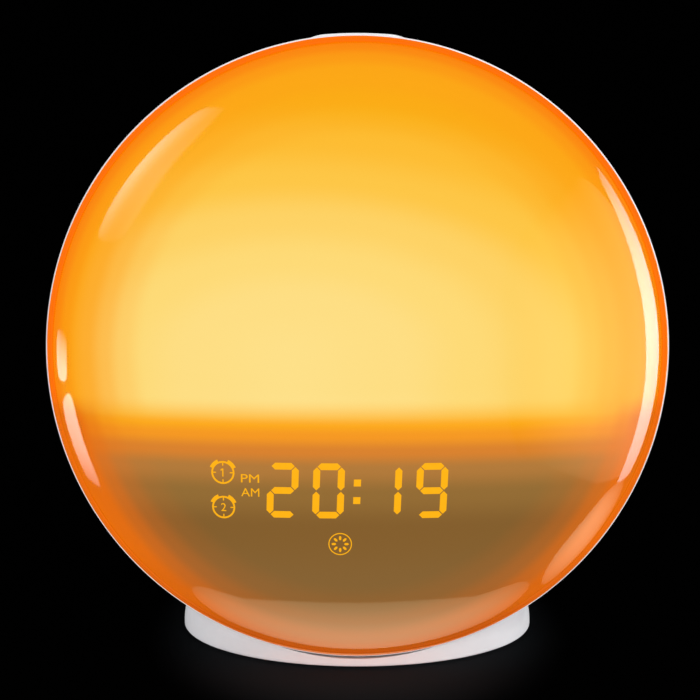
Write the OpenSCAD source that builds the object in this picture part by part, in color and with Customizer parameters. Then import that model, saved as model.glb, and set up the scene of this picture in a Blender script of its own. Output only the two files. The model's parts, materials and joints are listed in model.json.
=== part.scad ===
// Sunrise alarm clock: a round lit head that leans back on an oval cradle base.
// Millimetres, +Z up. The clock faces -Y and stands on Z = 0.
// Pieces of the head are written in the head's own frame: X to the right, Y up the leaning
// face, Z out of the front, with Z = 0 on the housing's front rim.

/* [Head] */
// Outer diameter of the round head at its rim
head_d = 168; // [160:1:176]
// How far the head leans back
lean = 9; // [6:0.5:11]
// How far the lens bulges in front of the rim
lens_depth = 38; // [34:1:42]
// Radius of the lens's tight outer bend
lens_edge_r = 22; // [18:1:26]
// Wall of the lens
lens_wall = 2; // [1.6:0.1:2.4]
// Width of the flat flange around the lens
lens_flange_w = 1.6; // [1.2:0.1:2]
// Thickness of that flange
lens_flange_h = 1.6; // [1.2:0.1:2]
// Depth of the white housing behind the rim
housing_depth = 42; // [40:1:46]
// Radius of the housing's rounded back corner
back_round_r = 36; // [33:1:37]
// Wall of the housing and of the base
wall = 2.4; // [2:0.1:2.8]

/* [Base] */
// Width of the oval base at the table
base_w = 100; // [94:1:108]
// Depth of the oval base, front to back
base_l = 69; // [66:1:78]
// Height of the base's rear deck above the table
base_h = 17; // [15:0.5:19]
// How far the base's middle lies behind the head's middle
base_set_back = 20.8; // [17:0.5:25]
// Radius on which the base's side leans in
base_side_r = 24; // [20:1:40]
// How far the rubber feet stand proud
foot_proud = 0.8; // [0.4:0.1:1.2]
// Diameter of the rubber feet
foot_d = 11; // [8:0.5:13]

/* [Controls] */
// Length of the snooze key across the head
snooze_l = 31.2; // [26:0.5:36]
// Width of the snooze key, front to back
snooze_w = 14; // [11:0.5:15]
// Height of the snooze key above the housing
snooze_proud = 3.3; // [2:0.1:4]
// Press travel of the snooze key
snooze_travel = 1; // [0.6:0.1:1.4]
// Diameter of the side buttons
button_d = 8.6; // [7:0.2:10]
// Spacing of the side buttons
button_pitch = 13.5; // [12:0.5:14]
// Height of the side buttons above the housing
button_proud = 1.2; // [0.8:0.1:1.6]
// Press travel of the side buttons
button_travel = 0.6; // [0.4:0.1:0.8]

/* [Display] */
// Height of the digits
digit_h = 14.3; // [12:0.1:15]
// Width of one digit
digit_w = 8.1; // [7:0.1:9]
// Stroke of a segment
stroke = 1.5; // [1.2:0.1:1.8]
// Pitch of the two digits of a pair
digit_pitch = 11.6; // [10.5:0.1:12]
// Distance from the head's middle down to the digits' middle
display_drop = 34.2; // [32:0.2:36]
// Distance from the head's middle down to the light shelf
shelf_drop = 15; // [13:0.5:17]

/* [Speaker] */
// Diameter of the speaker
speaker_d = 40; // [36:1:42]
// Distance from the head's middle up to the speaker's middle
speaker_rise = 21; // [19:0.5:24]
// Diameter of one hole of the speaker grille
perf_d = 1.8; // [1.4:0.1:2.2]
// Pitch of the grille's holes
perf_pitch = 3.4; // [3:0.1:4]

/* [Power inlet] */
// Bore of the power inlet
inlet_bore_d = 5.7; // [5.5:0.1:5.9]
// Centre contact of the power inlet
inlet_pin_d = 2; // [1.6:0.1:2.5]

/* [Clearances] */
// Running gap around every key and button
key_gap = 0.3; // [0.2:0.05:0.4]
// Gap between the cradle and the head
cradle_gap = 0.5; // [0.3:0.05:0.7]
// Gap of pieces that slip into each other and stay
slip_gap = 0.15; // [0.1:0.05:0.25]
// Gap between the lens and what lies behind it
lens_gap = 0.4; // [0.3:0.05:0.6]

/* [Hidden] */
$fn = 72;
EPS = 0.01;

// Screws: shank and head diameters, head height
screw_d = 2.6;
screw_head_d = 5;
screw_head_h = 1.8;
screw_play = 0.6;
screw_hole_d = screw_d + screw_play;
boss_d = 7;
// A screw's thread fills its pilot hole
pilot_d = screw_d;
// Threads in a boss, in a board's post and in a speaker ear's post, and the pilot's run past them
boss_bite = 7;
board_bite = 6;
ear_bite = 3.5;
pilot_spare = 1;
// Small screws of the base plate
plate_screw_d = 2;
plate_screw_head_d = 3.8;
plate_screw_head_h = 1;
plate_bite = 8;

// Boards
board_t = 1.6;
switch_w = 6;
switch_h = 3.6;
actuator_d = 3.4;
actuator_h = 0.7;
// Play between a resting stem and its switch, beyond the travel
stem_play = 0.1;

// Rim and housing
rim_r = head_d / 2;
rim_lip = 1.9;
rim_lip_h = 2.5;
rim_slope = 2;
body_r = rim_r - rim_lip;
inner_r = body_r - wall;
flat_r = body_r - back_round_r;
band = housing_depth - back_round_r;
back_z = -housing_depth;
floor_z = back_z + wall;

// Lens
lens_inset = 0.6;
flange_r = rim_r - lens_inset;
dome_r = flange_r - lens_flange_w;
skirt_h = 3.5;
skirt_t = 1.6;
skirt_r = inner_r - slip_gap;
lens_boss_ring_r = inner_r - 13.7;
lens_boss_d = boss_d;
lens_boss_angles = [35, 145, 200, 340];
// The bosses end inside the lens's wall, just under its outer bend
lens_boss_top = sqrt(pow(lens_edge_r, 2) - pow(lens_boss_ring_r + lens_boss_d / 2 - dome_r + lens_edge_r, 2))
  - lens_wall * 0.4;

// Radius of the large arc of a two-arc dome, from its rim radius, height and edge radius
function crown_r(r, h, e) = (pow(r - e, 2) + h * h - e * e) / (2 * (h - e));
lens_crown_r = crown_r(dome_r, lens_depth, lens_edge_r);

// Chassis: the inner frame behind the lens
chassis_t = 2.4;
chassis_z = -skirt_h;
chassis_r = inner_r - 0.3;
chassis_back_z = chassis_z - chassis_t;
chassis_boss_h = 6;
post_x = 34;
post_y = 27;
post_end_z = chassis_back_z - chassis_boss_h;
post_d = 9;
post_bore_d = screw_head_d + 0.8;
post_floor = 2;

// Light shelf
shelf_t = 2;
shelf_top_y = -shelf_drop;
tab_w = 12;
tab_xs = [-48, 0, 48];

// Lamp board
lamp_w = 84;
lamp_h = 50;
lamp_y = 29;
lamp_screw_inset = 4;
lamp_cols = 6;
lamp_rows = 4;
led_w = 3.5;
led_h = 1.4;

// Display: digits, colon and small windows, all about the display's middle
display_y = -display_drop;
pair_shift = 2 * digit_pitch + 2.8;
digit_xs = [for (p = [0, 1], d = [0, 1]) p * pair_shift + d * digit_pitch - (pair_shift + digit_pitch) / 2];
seg_gap = 0.3;
colon_w = 1.8;
colon_dy = 2.5;
icon_d = 6;
icon_x = -34.2;
icon_dy = 4.4;
sun_x = -4.6;
sun_dy = -13.6;
meridiem_x = -27.4;
meridiem_w = 4.6;
meridiem_h = 2.2;
meridiem_dys = [2.9, -0.7];
box_x = -6;
box_w = 72;
box_h = 31;
box_y = display_y - 4.8;
display_board_w = 84;
display_board_z = 12;
display_screw_inset = 2.5;
display_screw_dx = display_board_w / 2 - display_screw_inset;
window_t = 1.5;
chip_led_w = 1.2;
chip_led_h = 0.6;

// Side keys and their boards
key_z = -15;
key_flange = 1.1;
key_flange_t = 1;
key_ys = [for (i = [-2:2]) i * button_pitch];
key_stem_d = 3;
side_stem_l = 6.5;
key_flange_r = button_d / 2 + key_flange;
side_board_x = key_seat(max(key_ys)) - key_flange_t - side_stem_l - button_travel - stem_play - actuator_h - switch_h - board_t;
side_board_l = 2 * max(key_ys) + 16;
side_board_w = 12;
side_switch_tip = side_board_x + board_t + switch_h + actuator_h;
rib_t = 3.5;
rib_w = 10;
rib_grip = 2;

// Snooze key and its board
snooze_front_z = -7.5;
snooze_z = snooze_front_z - snooze_w / 2;
snooze_crown_r = 115;
snooze_flange_t = 1.2;
snooze_stem_d = 5;
snooze_stem_l = 3;
snooze_lip = 1;
snooze_flange_top = half_chord(inner_at(-snooze_front_z + snooze_w + snooze_lip), snooze_l / 2 + snooze_lip) - slip_gap;
snooze_stem_tip = snooze_flange_top - snooze_flange_t - snooze_stem_l;
snooze_switch_tip = snooze_stem_tip - snooze_travel - stem_play;
snooze_board_y = snooze_switch_tip - actuator_h - switch_h - board_t;
snooze_board_w = 24;
snooze_board_l = 14;

// Main board
main_w = 56;
main_h = 44;
main_y = -36;
main_rear_z = floor_z + 12.6;
main_front_z = main_rear_z + board_t;
standoff_d = 6;
standoff_inset = 4;
chip_h = 2;
// Chips on the board's front: left edge, lower edge, width and height
chips = [[-8, 4, 12, 12], [10, 6, 8, 6]];
capacitor_d = 6.3;
capacitor_h = 5;
capacitor_places = [[-20, 4], [-20, 12]];
// The clock cell lies in an open holder on the board's rear
cell_d = 20;
cell_t = 3.2;
cell_wall = 1.5;
clock_cell_x = -8;
clock_cell_dy = -6;

// Power inlet
inlet_x = 14;
inlet_w = 9.5;
inlet_nose_d = 7.6;
inlet_mouth = 1.2;
inlet_socket_depth = 9;
inlet_lead_in = 0.4;
inlet_mouth_d = inlet_bore_d + 2 * inlet_lead_in;

// Speaker
speaker_seat_h = 2.4;
gasket_t = 0.8;
gasket_w = 2.2;
speaker_face_z = floor_z + speaker_seat_h + gasket_t;
speaker_r = speaker_d / 2;
speaker_flange_t = 1.2;
speaker_depth = 9;
basket_step = 1.5;
speaker_back_z = speaker_face_z + speaker_flange_t + speaker_depth;
magnet_r = speaker_r * 0.65;
magnet_h = 6;
ear_ring_r = speaker_r + 2.4;
ear_d = 6.4;
coil_r = 6;
coil_wall = 0.4;
coil_gap = 0.5;
cone_travel = 0.4;
cone_r = speaker_r - 5;
cone_t = 0.4;
perf_field_r = speaker_r - 4.4;

// Terminal block that stands on the basket's flange
terminal_w = 6;
terminal_t = 2;
terminal_h = 4;
terminal_y = speaker_rise - speaker_r + 1.5;

// Cables and their plugs' headers on the main board
wire_d = 1.2;
wire_pitch = 1.5;
wire_rise = 4;
// A slanted wire's end stands this far off the face that it meets
wire_end = wire_d / 2;
speaker_lead_reach = 8;
header_w = 8;
header_t = 3;
header_h = 3;
header_dy = 19;
header_xs = [-12, 2, 14];
header_top_z = main_front_z + header_h;
side_header_x = 25;
side_header_dy = 2;
ribbon_x = -6;
ribbon_w = 12;
ribbon_t = 0.5;
ribbon_y = -52;
ribbon_shift = 1.5;
ribbon_slot_w = 6;
lamp_cable_x = -12;
lamp_cable_y = lamp_y - lamp_h / 2 + 3;
lamp_cable_hole_w = 6;
side_cable_y = -24;
side_cable_reach = 9;
side_cable_bend_y = -36;
snooze_cable_x = 6;
snooze_cable_gap = 6.5;
snooze_cable_side_x = speaker_r + snooze_cable_gap;
snooze_cable_rise = 10;
snooze_cable_drop = 6;
snooze_cable_low_y = 2;

// Base
base_floor = foot_proud;
cradle_floor = wall;
base_edge_r = 1;
base_low = base_floor + base_edge_r;
base_sides = 72;
base_bands = 4;
plate_t = 2;
plate_inset = 3;
plate_ledge = 1.5;
plate_front = -5;
foot_t = foot_proud + 0.6;
foot_places = [[-24, -20], [24, -20], [-26, 17], [26, 17]];
plate_screw_places = [[-33, 8], [33, 8], [0, 23]];
cradle_screw_x = 20;
cradle_screw_dy = 2;
cradle_seat_z = base_floor + plate_t + screw_head_h + 0.6;
cradle_screw_l = 16;

// Where the head stands: its lowest shell point clears the cradle floor, and its rim clears the lip
shell_drop = flat_r * cos(lean) + band * sin(lean) + back_round_r;
rim_drop = rim_r * cos(lean);
head_z = base_floor + cradle_gap + max(shell_drop + cradle_floor, rim_drop + wall);
// The model is centred front to back over its whole depth
lens_reach = (lens_depth - lens_crown_r) * cos(lean) + lens_crown_r;
base_y = (base_set_back + lens_reach - base_l / 2) / 2;
head_y = base_y - base_set_back;

// ---------- frames ----------

// Places children that are written in the head's frame
module head() {
  translate([0, head_y, head_z]) rotate([90 - lean, 0, 0]) children();
}

// Brings children that are written in the table's frame into the head's
module table_in_head() {
  rotate([lean - 90, 0, 0]) translate([0, -head_y, -head_z]) children();
}

// ---------- shared shapes ----------

// Screw along +Z, its head's underside on Z = 0 and its shank below it
module screw(length, d = screw_d, head_d = screw_head_d, head_h = screw_head_h) {
  slot_l = head_d * 0.6;
  slot_w = head_d * 0.16;
  color("silver") union() {
    translate([0, 0, -length]) cylinder(d = d, h = length + head_h / 4);
    difference() {
      cylinder(d = head_d, h = head_h);
      translate([0, 0, head_h / 2]) {
        translate([-slot_l / 2, -slot_w / 2, 0]) cube([slot_l, slot_w, head_h]);
        translate([-slot_w / 2, -slot_l / 2, 0]) cube([slot_w, slot_l, head_h]);
      }
    }
  }
}

// Straight bar from a to b with eight sides, run on past b by a length
module bar(a, b, d, past) {
  v = b - a;
  translate(a)
    rotate([0, acos(v[2] / norm(v)), atan2(v[1], v[0])])
      cylinder(d = d, h = norm(v) + past, $fn = 8);
}

// Insulated wire through a list of points
module wire(points, d) {
  last = len(points) - 2;
  union() for (i = [0:last]) bar(points[i], points[i + 1], d, i < last ? d / 4 : 0);
}

// Solid of revolution under two tangent arcs: the lens's outer form, grown or shrunk
module dome(grow) {
  e = lens_edge_r + grow;
  big = lens_crown_r + grow;
  edge_x = dome_r - lens_edge_r;
  big_y = lens_depth - lens_crown_r;
  reach = 2 * big;
  rotate_extrude() union() {
    intersection() {
      translate([0, big_y]) circle(r = big);
      polygon([[0, 0], [edge_x, 0], [edge_x, 0] + reach * [edge_x, -big_y] / norm([edge_x, big_y]), [0, reach]]);
    }
    intersection() {
      translate([edge_x, 0]) circle(r = e);
      polygon([[edge_x, 0], [reach, 0], [edge_x, 0] + reach * [edge_x, -big_y] / norm([edge_x, big_y])]);
    }
  }
}

// Half outline of the housing behind the rim, grown or shrunk
module housing_outline(grow) {
  translate([0, -band]) square([body_r + grow, band]);
  translate([0, back_z - grow]) square([flat_r, housing_depth + grow]);
  intersection() {
    translate([flat_r, -band]) circle(r = back_round_r + grow);
    translate([0, -2 * housing_depth]) square([2 * rim_r, 2 * housing_depth - band]);
  }
}

// Half outline of the rim's lip, grown, running ahead of the rim by a length
module lip_outline(grow, ahead) {
  polygon([
    [0, ahead], [rim_r + grow, ahead], [rim_r + grow, -rim_lip_h - grow],
    [body_r + grow, -rim_lip_h - rim_slope - grow], [0, -rim_lip_h - rim_slope - grow]
  ]);
}

module housing_form(grow) {
  rotate_extrude() housing_outline(grow);
}

// Room that the head takes in the cradle
module head_room(grow) {
  rotate_extrude() {
    housing_outline(grow);
    lip_outline(grow, lens_depth);
  }
}

// One digit's seven segments
module segment(length) {
  t = stroke / 2;
  h = length / 2;
  polygon([[-h, 0], [t - h, t], [h - t, t], [h, 0], [h - t, -t], [t - h, -t]]);
}

module digit() {
  bar_w = digit_w - stroke - seg_gap;
  bar_h = (digit_h - stroke) / 2 - seg_gap;
  for (k = [-1, 0, 1]) translate([0, k * (digit_h - stroke) / 2]) segment(bar_w);
  for (sx = [-1, 1], sy = [-1, 1])
    translate([sx * (digit_w - stroke) / 2, sy * (digit_h - stroke) / 4])
      rotate([0, 0, 90]) segment(bar_h);
}

// Every light opening of the display
module display_marks() {
  translate([0, display_y]) {
    for (x = digit_xs) translate([x, 0]) digit();
    for (s = [-1, 1]) translate([-colon_w / 2, s * colon_dy - colon_w / 2]) square(colon_w);
    for (s = [-1, 1]) translate([icon_x, s * icon_dy]) circle(d = icon_d);
    for (dy = meridiem_dys)
      translate([meridiem_x - meridiem_w / 2, dy - meridiem_h / 2]) square([meridiem_w, meridiem_h]);
    translate([sun_x, sun_dy]) circle(d = icon_d);
  }
}

// Pill outline of the snooze key, seen along its travel
module pill(length, width) {
  for (s = [-1, 1]) translate([s * (length - width) / 2, 0]) circle(d = width);
  square([length - width, width], center = true);
}

// Upright prism on the snooze key's place, from y0 to y1 up the head
module snooze_prism(grow, y0, y1) {
  translate([0, y1, snooze_z]) rotate([90, 0, 0])
    linear_extrude(y1 - y0) pill(snooze_l + 2 * grow, snooze_w + 2 * grow);
}

// Half-breadth of a circle of radius r at height y
function half_chord(r, y) = sqrt(r * r - y * y);

// Outer radius of the housing at depth s behind the rim
function outer_at(s) = flat_r + sqrt(pow(back_round_r, 2) - pow(max(s - band, 0), 2));

// Inner radius of the housing at depth s behind the rim
function inner_at(s) = flat_r + sqrt(pow(back_round_r - wall, 2) - pow(max(s - band, 0), 2));

// Where a side button's flange seats inside the wall, for a button at height y
function key_seat(y) = half_chord(inner_at(-key_z + key_flange_r), abs(y) + key_flange_r) - slip_gap;

// ---------- lens ----------

module front_lens() {
  color([1, 0.72, 0.3]) head() difference() {
    union() {
      difference() {
        union() {
          dome(0);
          cylinder(r = flange_r, h = lens_flange_h);
        }
        dome(-lens_wall);
      }
      difference() {
        union() {
          translate([0, 0, -skirt_h]) cylinder(r = skirt_r, h = skirt_h + lens_flange_h);
          cylinder(r = dome_r - lens_wall / 2, h = lens_flange_h);
        }
        translate([0, 0, -skirt_h - 1]) cylinder(r = skirt_r - skirt_t, h = skirt_h + lens_flange_h + 2);
      }
      for (a = lens_boss_angles) rotate([0, 0, a])
        translate([lens_boss_ring_r, 0, -skirt_h]) cylinder(d = lens_boss_d, h = skirt_h + lens_boss_top);
    }
    for (a = lens_boss_angles) rotate([0, 0, a])
      translate([lens_boss_ring_r, 0, -skirt_h - 1]) cylinder(d = pilot_d, h = boss_bite + pilot_spare + 1);
  }
}

// ---------- housing ----------

// Rows of the speaker grille's holes, in a hexagonal field
module grille_holes() {
  row_h = perf_pitch * sin(60);
  n = ceil(perf_field_r / row_h);
  for (j = [-n:n], i = [-n:n]) {
    x = (i + (abs(j) % 2) / 2) * perf_pitch;
    y = j * row_h;
    if (norm([x, y]) <= perf_field_r)
      translate([x, speaker_rise + y, back_z - 1]) cylinder(d = perf_d, h = wall + 2);
  }
}

// Ribs that hold one side's switch board by its two ends
module side_ribs() {
  for (s = [-1, 1])
    translate([side_board_x + board_t / 2 - rib_w / 2, s * (side_board_l / 2 + rib_t / 2 - rib_grip) - rib_t / 2, back_z])
      cube([rib_w, rib_t, housing_depth + key_z + side_board_w / 2]);
}

module side_board_room(grow) {
  translate([side_board_x - grow, -side_board_l / 2 - grow, key_z - side_board_w / 2 - grow])
    cube([board_t + 2 * grow, side_board_l + 2 * grow, side_board_w + 2 * grow]);
}

module snooze_board_room(grow) {
  translate([-snooze_board_w / 2 - grow, snooze_board_y - grow, snooze_z - snooze_board_l / 2 - grow])
    cube([snooze_board_w + 2 * grow, board_t + 2 * grow, snooze_board_l + 2 * grow]);
}

// Everything that stands up inside the housing
module housing_inside() {
  for (sx = [-1, 1], sy = [-1, 1])
    translate([sx * post_x, sy * post_y, back_z]) cylinder(d = post_d, h = post_end_z - back_z);
  for (p = main_screw_places())
    translate([p[0], p[1], back_z]) cylinder(d = standoff_d, h = main_rear_z - back_z);
  translate([0, speaker_rise, back_z]) difference() {
    cylinder(r = speaker_r, h = wall + speaker_seat_h);
    translate([0, 0, -1]) cylinder(r = speaker_r - gasket_w, h = wall + speaker_seat_h + 2);
  }
  for (p = ear_places())
    translate([p[0], p[1], back_z]) cylinder(d = ear_d, h = speaker_face_z - back_z);
  for (m = [0, 1]) mirror([m, 0, 0]) difference() {
    side_ribs();
    side_board_room(slip_gap);
  }
  difference() {
    for (s = [-1, 1])
      translate([s * (snooze_board_w / 2 - rib_grip + rib_t / 2) - rib_t / 2, snooze_board_y - rib_t, back_z])
        cube([rib_t, 2 * rib_t + board_t, housing_depth + snooze_z + snooze_board_l / 2]);
    snooze_board_room(slip_gap);
  }
  table_in_head()
    for (s = [-1, 1]) translate([s * cradle_screw_x, base_y + cradle_screw_dy, 0])
      cylinder(d = boss_d, h = cradle_seat_z + cradle_screw_l + 1.5);
}

// Main board screws, one near each corner
function main_screw_places() = [for (sx = [-1, 1], sy = [-1, 1])
  [sx * (main_w / 2 - standoff_inset), main_y + sy * (main_h / 2 - standoff_inset)]];

// Speaker ears, at the corners of a square
function ear_places() = [for (a = [45:90:315])
  [ear_ring_r * cos(a), speaker_rise + ear_ring_r * sin(a)]];

module rear_housing() {
  color("white") head() difference() {
    union() {
      difference() {
        rotate_extrude() {
          housing_outline(0);
          lip_outline(0, 0);
        }
        housing_form(-wall);
        translate([0, 0, -band]) cylinder(r = inner_r, h = band + 1);
      }
      intersection() {
        housing_inside();
        housing_form(-wall / 2);
      }
    }
    // screw wells and their through holes
    for (sx = [-1, 1], sy = [-1, 1]) translate([sx * post_x, sy * post_y, 0]) {
      translate([0, 0, back_z - 1]) cylinder(d = post_bore_d, h = post_end_z - post_floor - back_z + 1);
      translate([0, 0, back_z - 1]) cylinder(d = screw_hole_d, h = housing_depth);
    }
    // pilot holes
    for (p = main_screw_places())
      translate([p[0], p[1], main_rear_z - board_bite - pilot_spare]) cylinder(d = pilot_d, h = board_bite + pilot_spare + 1);
    for (p = ear_places())
      translate([p[0], p[1], speaker_face_z - ear_bite - pilot_spare]) cylinder(d = pilot_d, h = ear_bite + pilot_spare + 1);
    table_in_head()
      for (s = [-1, 1]) translate([s * cradle_screw_x, base_y + cradle_screw_dy, 0])
        cylinder(d = pilot_d, h = cradle_seat_z + cradle_screw_l + 0.5);
    grille_holes();
    translate([inlet_x, main_y, back_z - 1]) cylinder(d = inlet_nose_d + 2 * slip_gap, h = wall + 2);
    snooze_prism(key_gap, snooze_flange_top - snooze_flange_t, rim_r + snooze_proud + 1);
    for (m = [0, 1], y = key_ys) mirror([m, 0, 0])
      translate([side_switch_tip + 5, y, key_z]) rotate([0, 90, 0])
        cylinder(d = button_d + 2 * key_gap, h = rim_r);
  }
}

// ---------- chassis and lamp ----------

module inner_chassis() {
  color("whitesmoke") head() difference() {
    union() {
      translate([0, 0, chassis_back_z]) cylinder(r = chassis_r, h = chassis_t);
      for (sx = [-1, 1], sy = [-1, 1])
        translate([sx * post_x, sy * post_y, post_end_z]) cylinder(d = boss_d, h = chassis_boss_h + EPS);
      for (s = [-1, 1])
        translate([box_x + s * display_screw_dx, box_y, chassis_back_z])
          cylinder(d = boss_d - 1, h = display_board_z - chassis_back_z);
    }
    for (a = lens_boss_angles) rotate([0, 0, a])
      translate([lens_boss_ring_r, 0, chassis_back_z - 1]) cylinder(d = screw_hole_d, h = chassis_t + 2);
    for (sx = [-1, 1], sy = [-1, 1])
      translate([sx * post_x, sy * post_y, post_end_z - 1]) cylinder(d = pilot_d, h = chassis_boss_h + 1);
    for (s = [-1, 1])
      translate([box_x + s * display_screw_dx, box_y, display_board_z - board_bite - pilot_spare])
        cylinder(d = pilot_d, h = board_bite + pilot_spare + 1);
    for (p = lamp_screw_places())
      translate([p[0], p[1], chassis_back_z - 1]) cylinder(d = pilot_d, h = chassis_t + 2);
    for (x = tab_xs)
      translate([x - tab_w / 2 - slip_gap, shelf_top_y - shelf_t - slip_gap, chassis_back_z - 1])
        cube([tab_w + 2 * slip_gap, shelf_t + 2 * slip_gap, chassis_t + 2]);
    translate([ribbon_x - ribbon_w / 2 - 1, ribbon_y - ribbon_slot_w / 2, chassis_back_z - 1])
      cube([ribbon_w + 2, ribbon_slot_w, chassis_t + 2]);
    translate([lamp_cable_x, lamp_cable_y, chassis_z]) cube([lamp_cable_hole_w, lamp_cable_hole_w, 4 * chassis_t], center = true);
  }
}

function lamp_screw_places() = [for (sx = [-1, 1], sy = [-1, 1])
  [sx * (lamp_w / 2 - lamp_screw_inset), lamp_y + sy * (lamp_h / 2 - lamp_screw_inset)]];

module light_shelf() {
  color("white") head() union() {
    intersection() {
      dome(-lens_wall - lens_gap);
      translate([-rim_r, shelf_top_y - shelf_t, lens_flange_h + lens_gap]) cube([head_d, shelf_t, lens_depth]);
    }
    translate([-half_chord(skirt_r - skirt_t - lens_gap, shelf_drop + shelf_t), shelf_top_y - shelf_t, chassis_z])
      cube([2 * half_chord(skirt_r - skirt_t - lens_gap, shelf_drop + shelf_t), shelf_t, skirt_h + lens_flange_h + 1]);
    for (x = tab_xs)
      translate([x - tab_w / 2, shelf_top_y - shelf_t, chassis_back_z]) cube([tab_w, shelf_t, chassis_t + 1]);
  }
}

module lamp_board() {
  color("ivory") head() difference() {
    translate([-lamp_w / 2, lamp_y - lamp_h / 2, chassis_z]) cube([lamp_w, lamp_h, board_t]);
    for (p = lamp_screw_places())
      translate([p[0], p[1], chassis_z - 1]) cylinder(d = screw_hole_d, h = board_t + 2);
  }
}

module lamp_leds() {
  dx = (lamp_w - 24) / (lamp_cols - 1);
  dy = (lamp_h - 14) / (lamp_rows - 1);
  color("gold") head()
    for (i = [0:lamp_cols - 1], j = [0:lamp_rows - 1])
      translate([-lamp_w / 2 + 12 + i * dx - led_w / 2, lamp_y - lamp_h / 2 + 7 + j * dy - led_w / 2, chassis_z + board_t])
        cube([led_w, led_w, led_h]);
}

// ---------- display ----------

module display_board() {
  color("darkgreen") head() difference() {
    translate([box_x - display_board_w / 2, box_y - box_h / 2, display_board_z])
      cube([display_board_w, box_h, board_t]);
    for (s = [-1, 1])
      translate([box_x + s * display_screw_dx, box_y, display_board_z - 1])
        cylinder(d = screw_hole_d, h = board_t + 2);
  }
}

// Middles of all the display's light openings
function mark_middles() = concat(
  [for (x = digit_xs, k = [-1, 0, 1]) [x, k * (digit_h - stroke) / 2]],
  [for (x = digit_xs, sx = [-1, 1], sy = [-1, 1]) [x + sx * (digit_w - stroke) / 2, sy * (digit_h - stroke) / 4]],
  [for (s = [-1, 1]) [0, s * colon_dy]],
  [for (s = [-1, 1]) [icon_x, s * icon_dy]],
  [for (dy = meridiem_dys) [meridiem_x, dy]],
  [[sun_x, sun_dy]]
);

module display_leds() {
  color("orange") head()
    for (p = mark_middles())
      translate([p[0] - chip_led_w / 2, display_y + p[1] - chip_led_w / 2, display_board_z + board_t])
        cube([chip_led_w, chip_led_w, chip_led_h]);
}

module display_light_box() {
  color([0.12, 0.12, 0.12]) head() difference() {
    intersection() {
      translate([box_x - box_w / 2, box_y - box_h / 2, display_board_z + board_t])
        cube([box_w, box_h, lens_depth]);
      dome(-lens_wall - lens_gap);
    }
    translate([0, 0, display_board_z]) linear_extrude(lens_depth) display_marks();
  }
}

// Diffusers that fill the mouths of the light openings
module display_windows() {
  color([1, 0.7, 0.05]) head() difference() {
    intersection() {
      translate([0, 0, display_board_z + 3]) linear_extrude(lens_depth) display_marks();
      dome(-lens_wall - lens_gap);
    }
    dome(-lens_wall - lens_gap - window_t);
  }
}

// ---------- main board ----------

module main_board() {
  color("darkgreen") head() difference() {
    translate([-main_w / 2, main_y - main_h / 2, main_rear_z]) cube([main_w, main_h, board_t]);
    for (p = main_screw_places())
      translate([p[0], p[1], main_rear_z - 1]) cylinder(d = screw_hole_d, h = board_t + 2);
  }
}

// Cable header on the main board's front
module header(w, l) {
  translate([-w / 2, -l / 2, main_front_z]) cube([w, l, header_h]);
}

module main_chips() {
  color([0.1, 0.1, 0.1]) head() translate([0, main_y, 0]) {
    for (c = chips) translate([c[0], c[1], main_front_z]) cube([c[2], c[3], chip_h]);
    for (c = capacitor_places)
      translate([c[0], c[1], main_rear_z - capacitor_h]) cylinder(d = capacitor_d, h = capacitor_h);
    translate([ribbon_x, ribbon_y - main_y]) header(ribbon_w + 2, header_t);
    for (x = header_xs) translate([x, header_dy]) header(header_w, header_t);
    for (s = [-1, 1]) translate([s * side_header_x, side_header_dy]) header(header_t, header_w);
  }
}

// Places children at the clock cell, with the cell's open side at Z = 0
module at_clock_cell() {
  head() translate([clock_cell_x, main_y + clock_cell_dy, main_rear_z - cell_t - cell_wall]) children();
}

module clock_cell_holder() {
  color([0.15, 0.15, 0.15]) at_clock_cell() difference() {
    cylinder(d = cell_d + 2 * cell_wall, h = cell_t + cell_wall);
    translate([0, 0, -1]) cylinder(d = cell_d + 2 * slip_gap, h = cell_t + 1);
  }
}

module clock_cell() {
  color("silver") at_clock_cell() cylinder(d = cell_d, h = cell_t);
}

module power_inlet() {
  nose_z = back_z;
  color([0.08, 0.08, 0.08]) head() translate([inlet_x, main_y, 0]) difference() {
    union() {
      translate([-inlet_w / 2, -inlet_w / 2, floor_z + slip_gap]) cube([inlet_w, inlet_w, main_rear_z - floor_z - slip_gap]);
      translate([0, 0, nose_z]) cylinder(d = inlet_nose_d, h = wall + 1);
    }
    translate([0, 0, nose_z - 1]) cylinder(d = inlet_mouth_d, h = inlet_mouth + 1);
    translate([0, 0, nose_z]) cylinder(d = inlet_bore_d, h = inlet_socket_depth);
  }
}

module power_inlet_pin() {
  color("gold") head()
    translate([inlet_x, main_y, back_z + inlet_mouth + 0.3])
      cylinder(d = inlet_pin_d, h = inlet_socket_depth - inlet_mouth - 0.3);
}

// ---------- speaker ----------

module speaker_gasket() {
  color("dimgray") head() translate([0, speaker_rise, speaker_face_z - gasket_t]) difference() {
    cylinder(r = speaker_r, h = gasket_t);
    translate([0, 0, -1]) cylinder(r = speaker_r - gasket_w, h = gasket_t + 2);
    for (a = [45:90:315]) rotate([0, 0, a])
      translate([ear_ring_r, 0, -1]) cylinder(d = ear_d + 2 * slip_gap, h = gasket_t + 2);
  }
}

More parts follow.
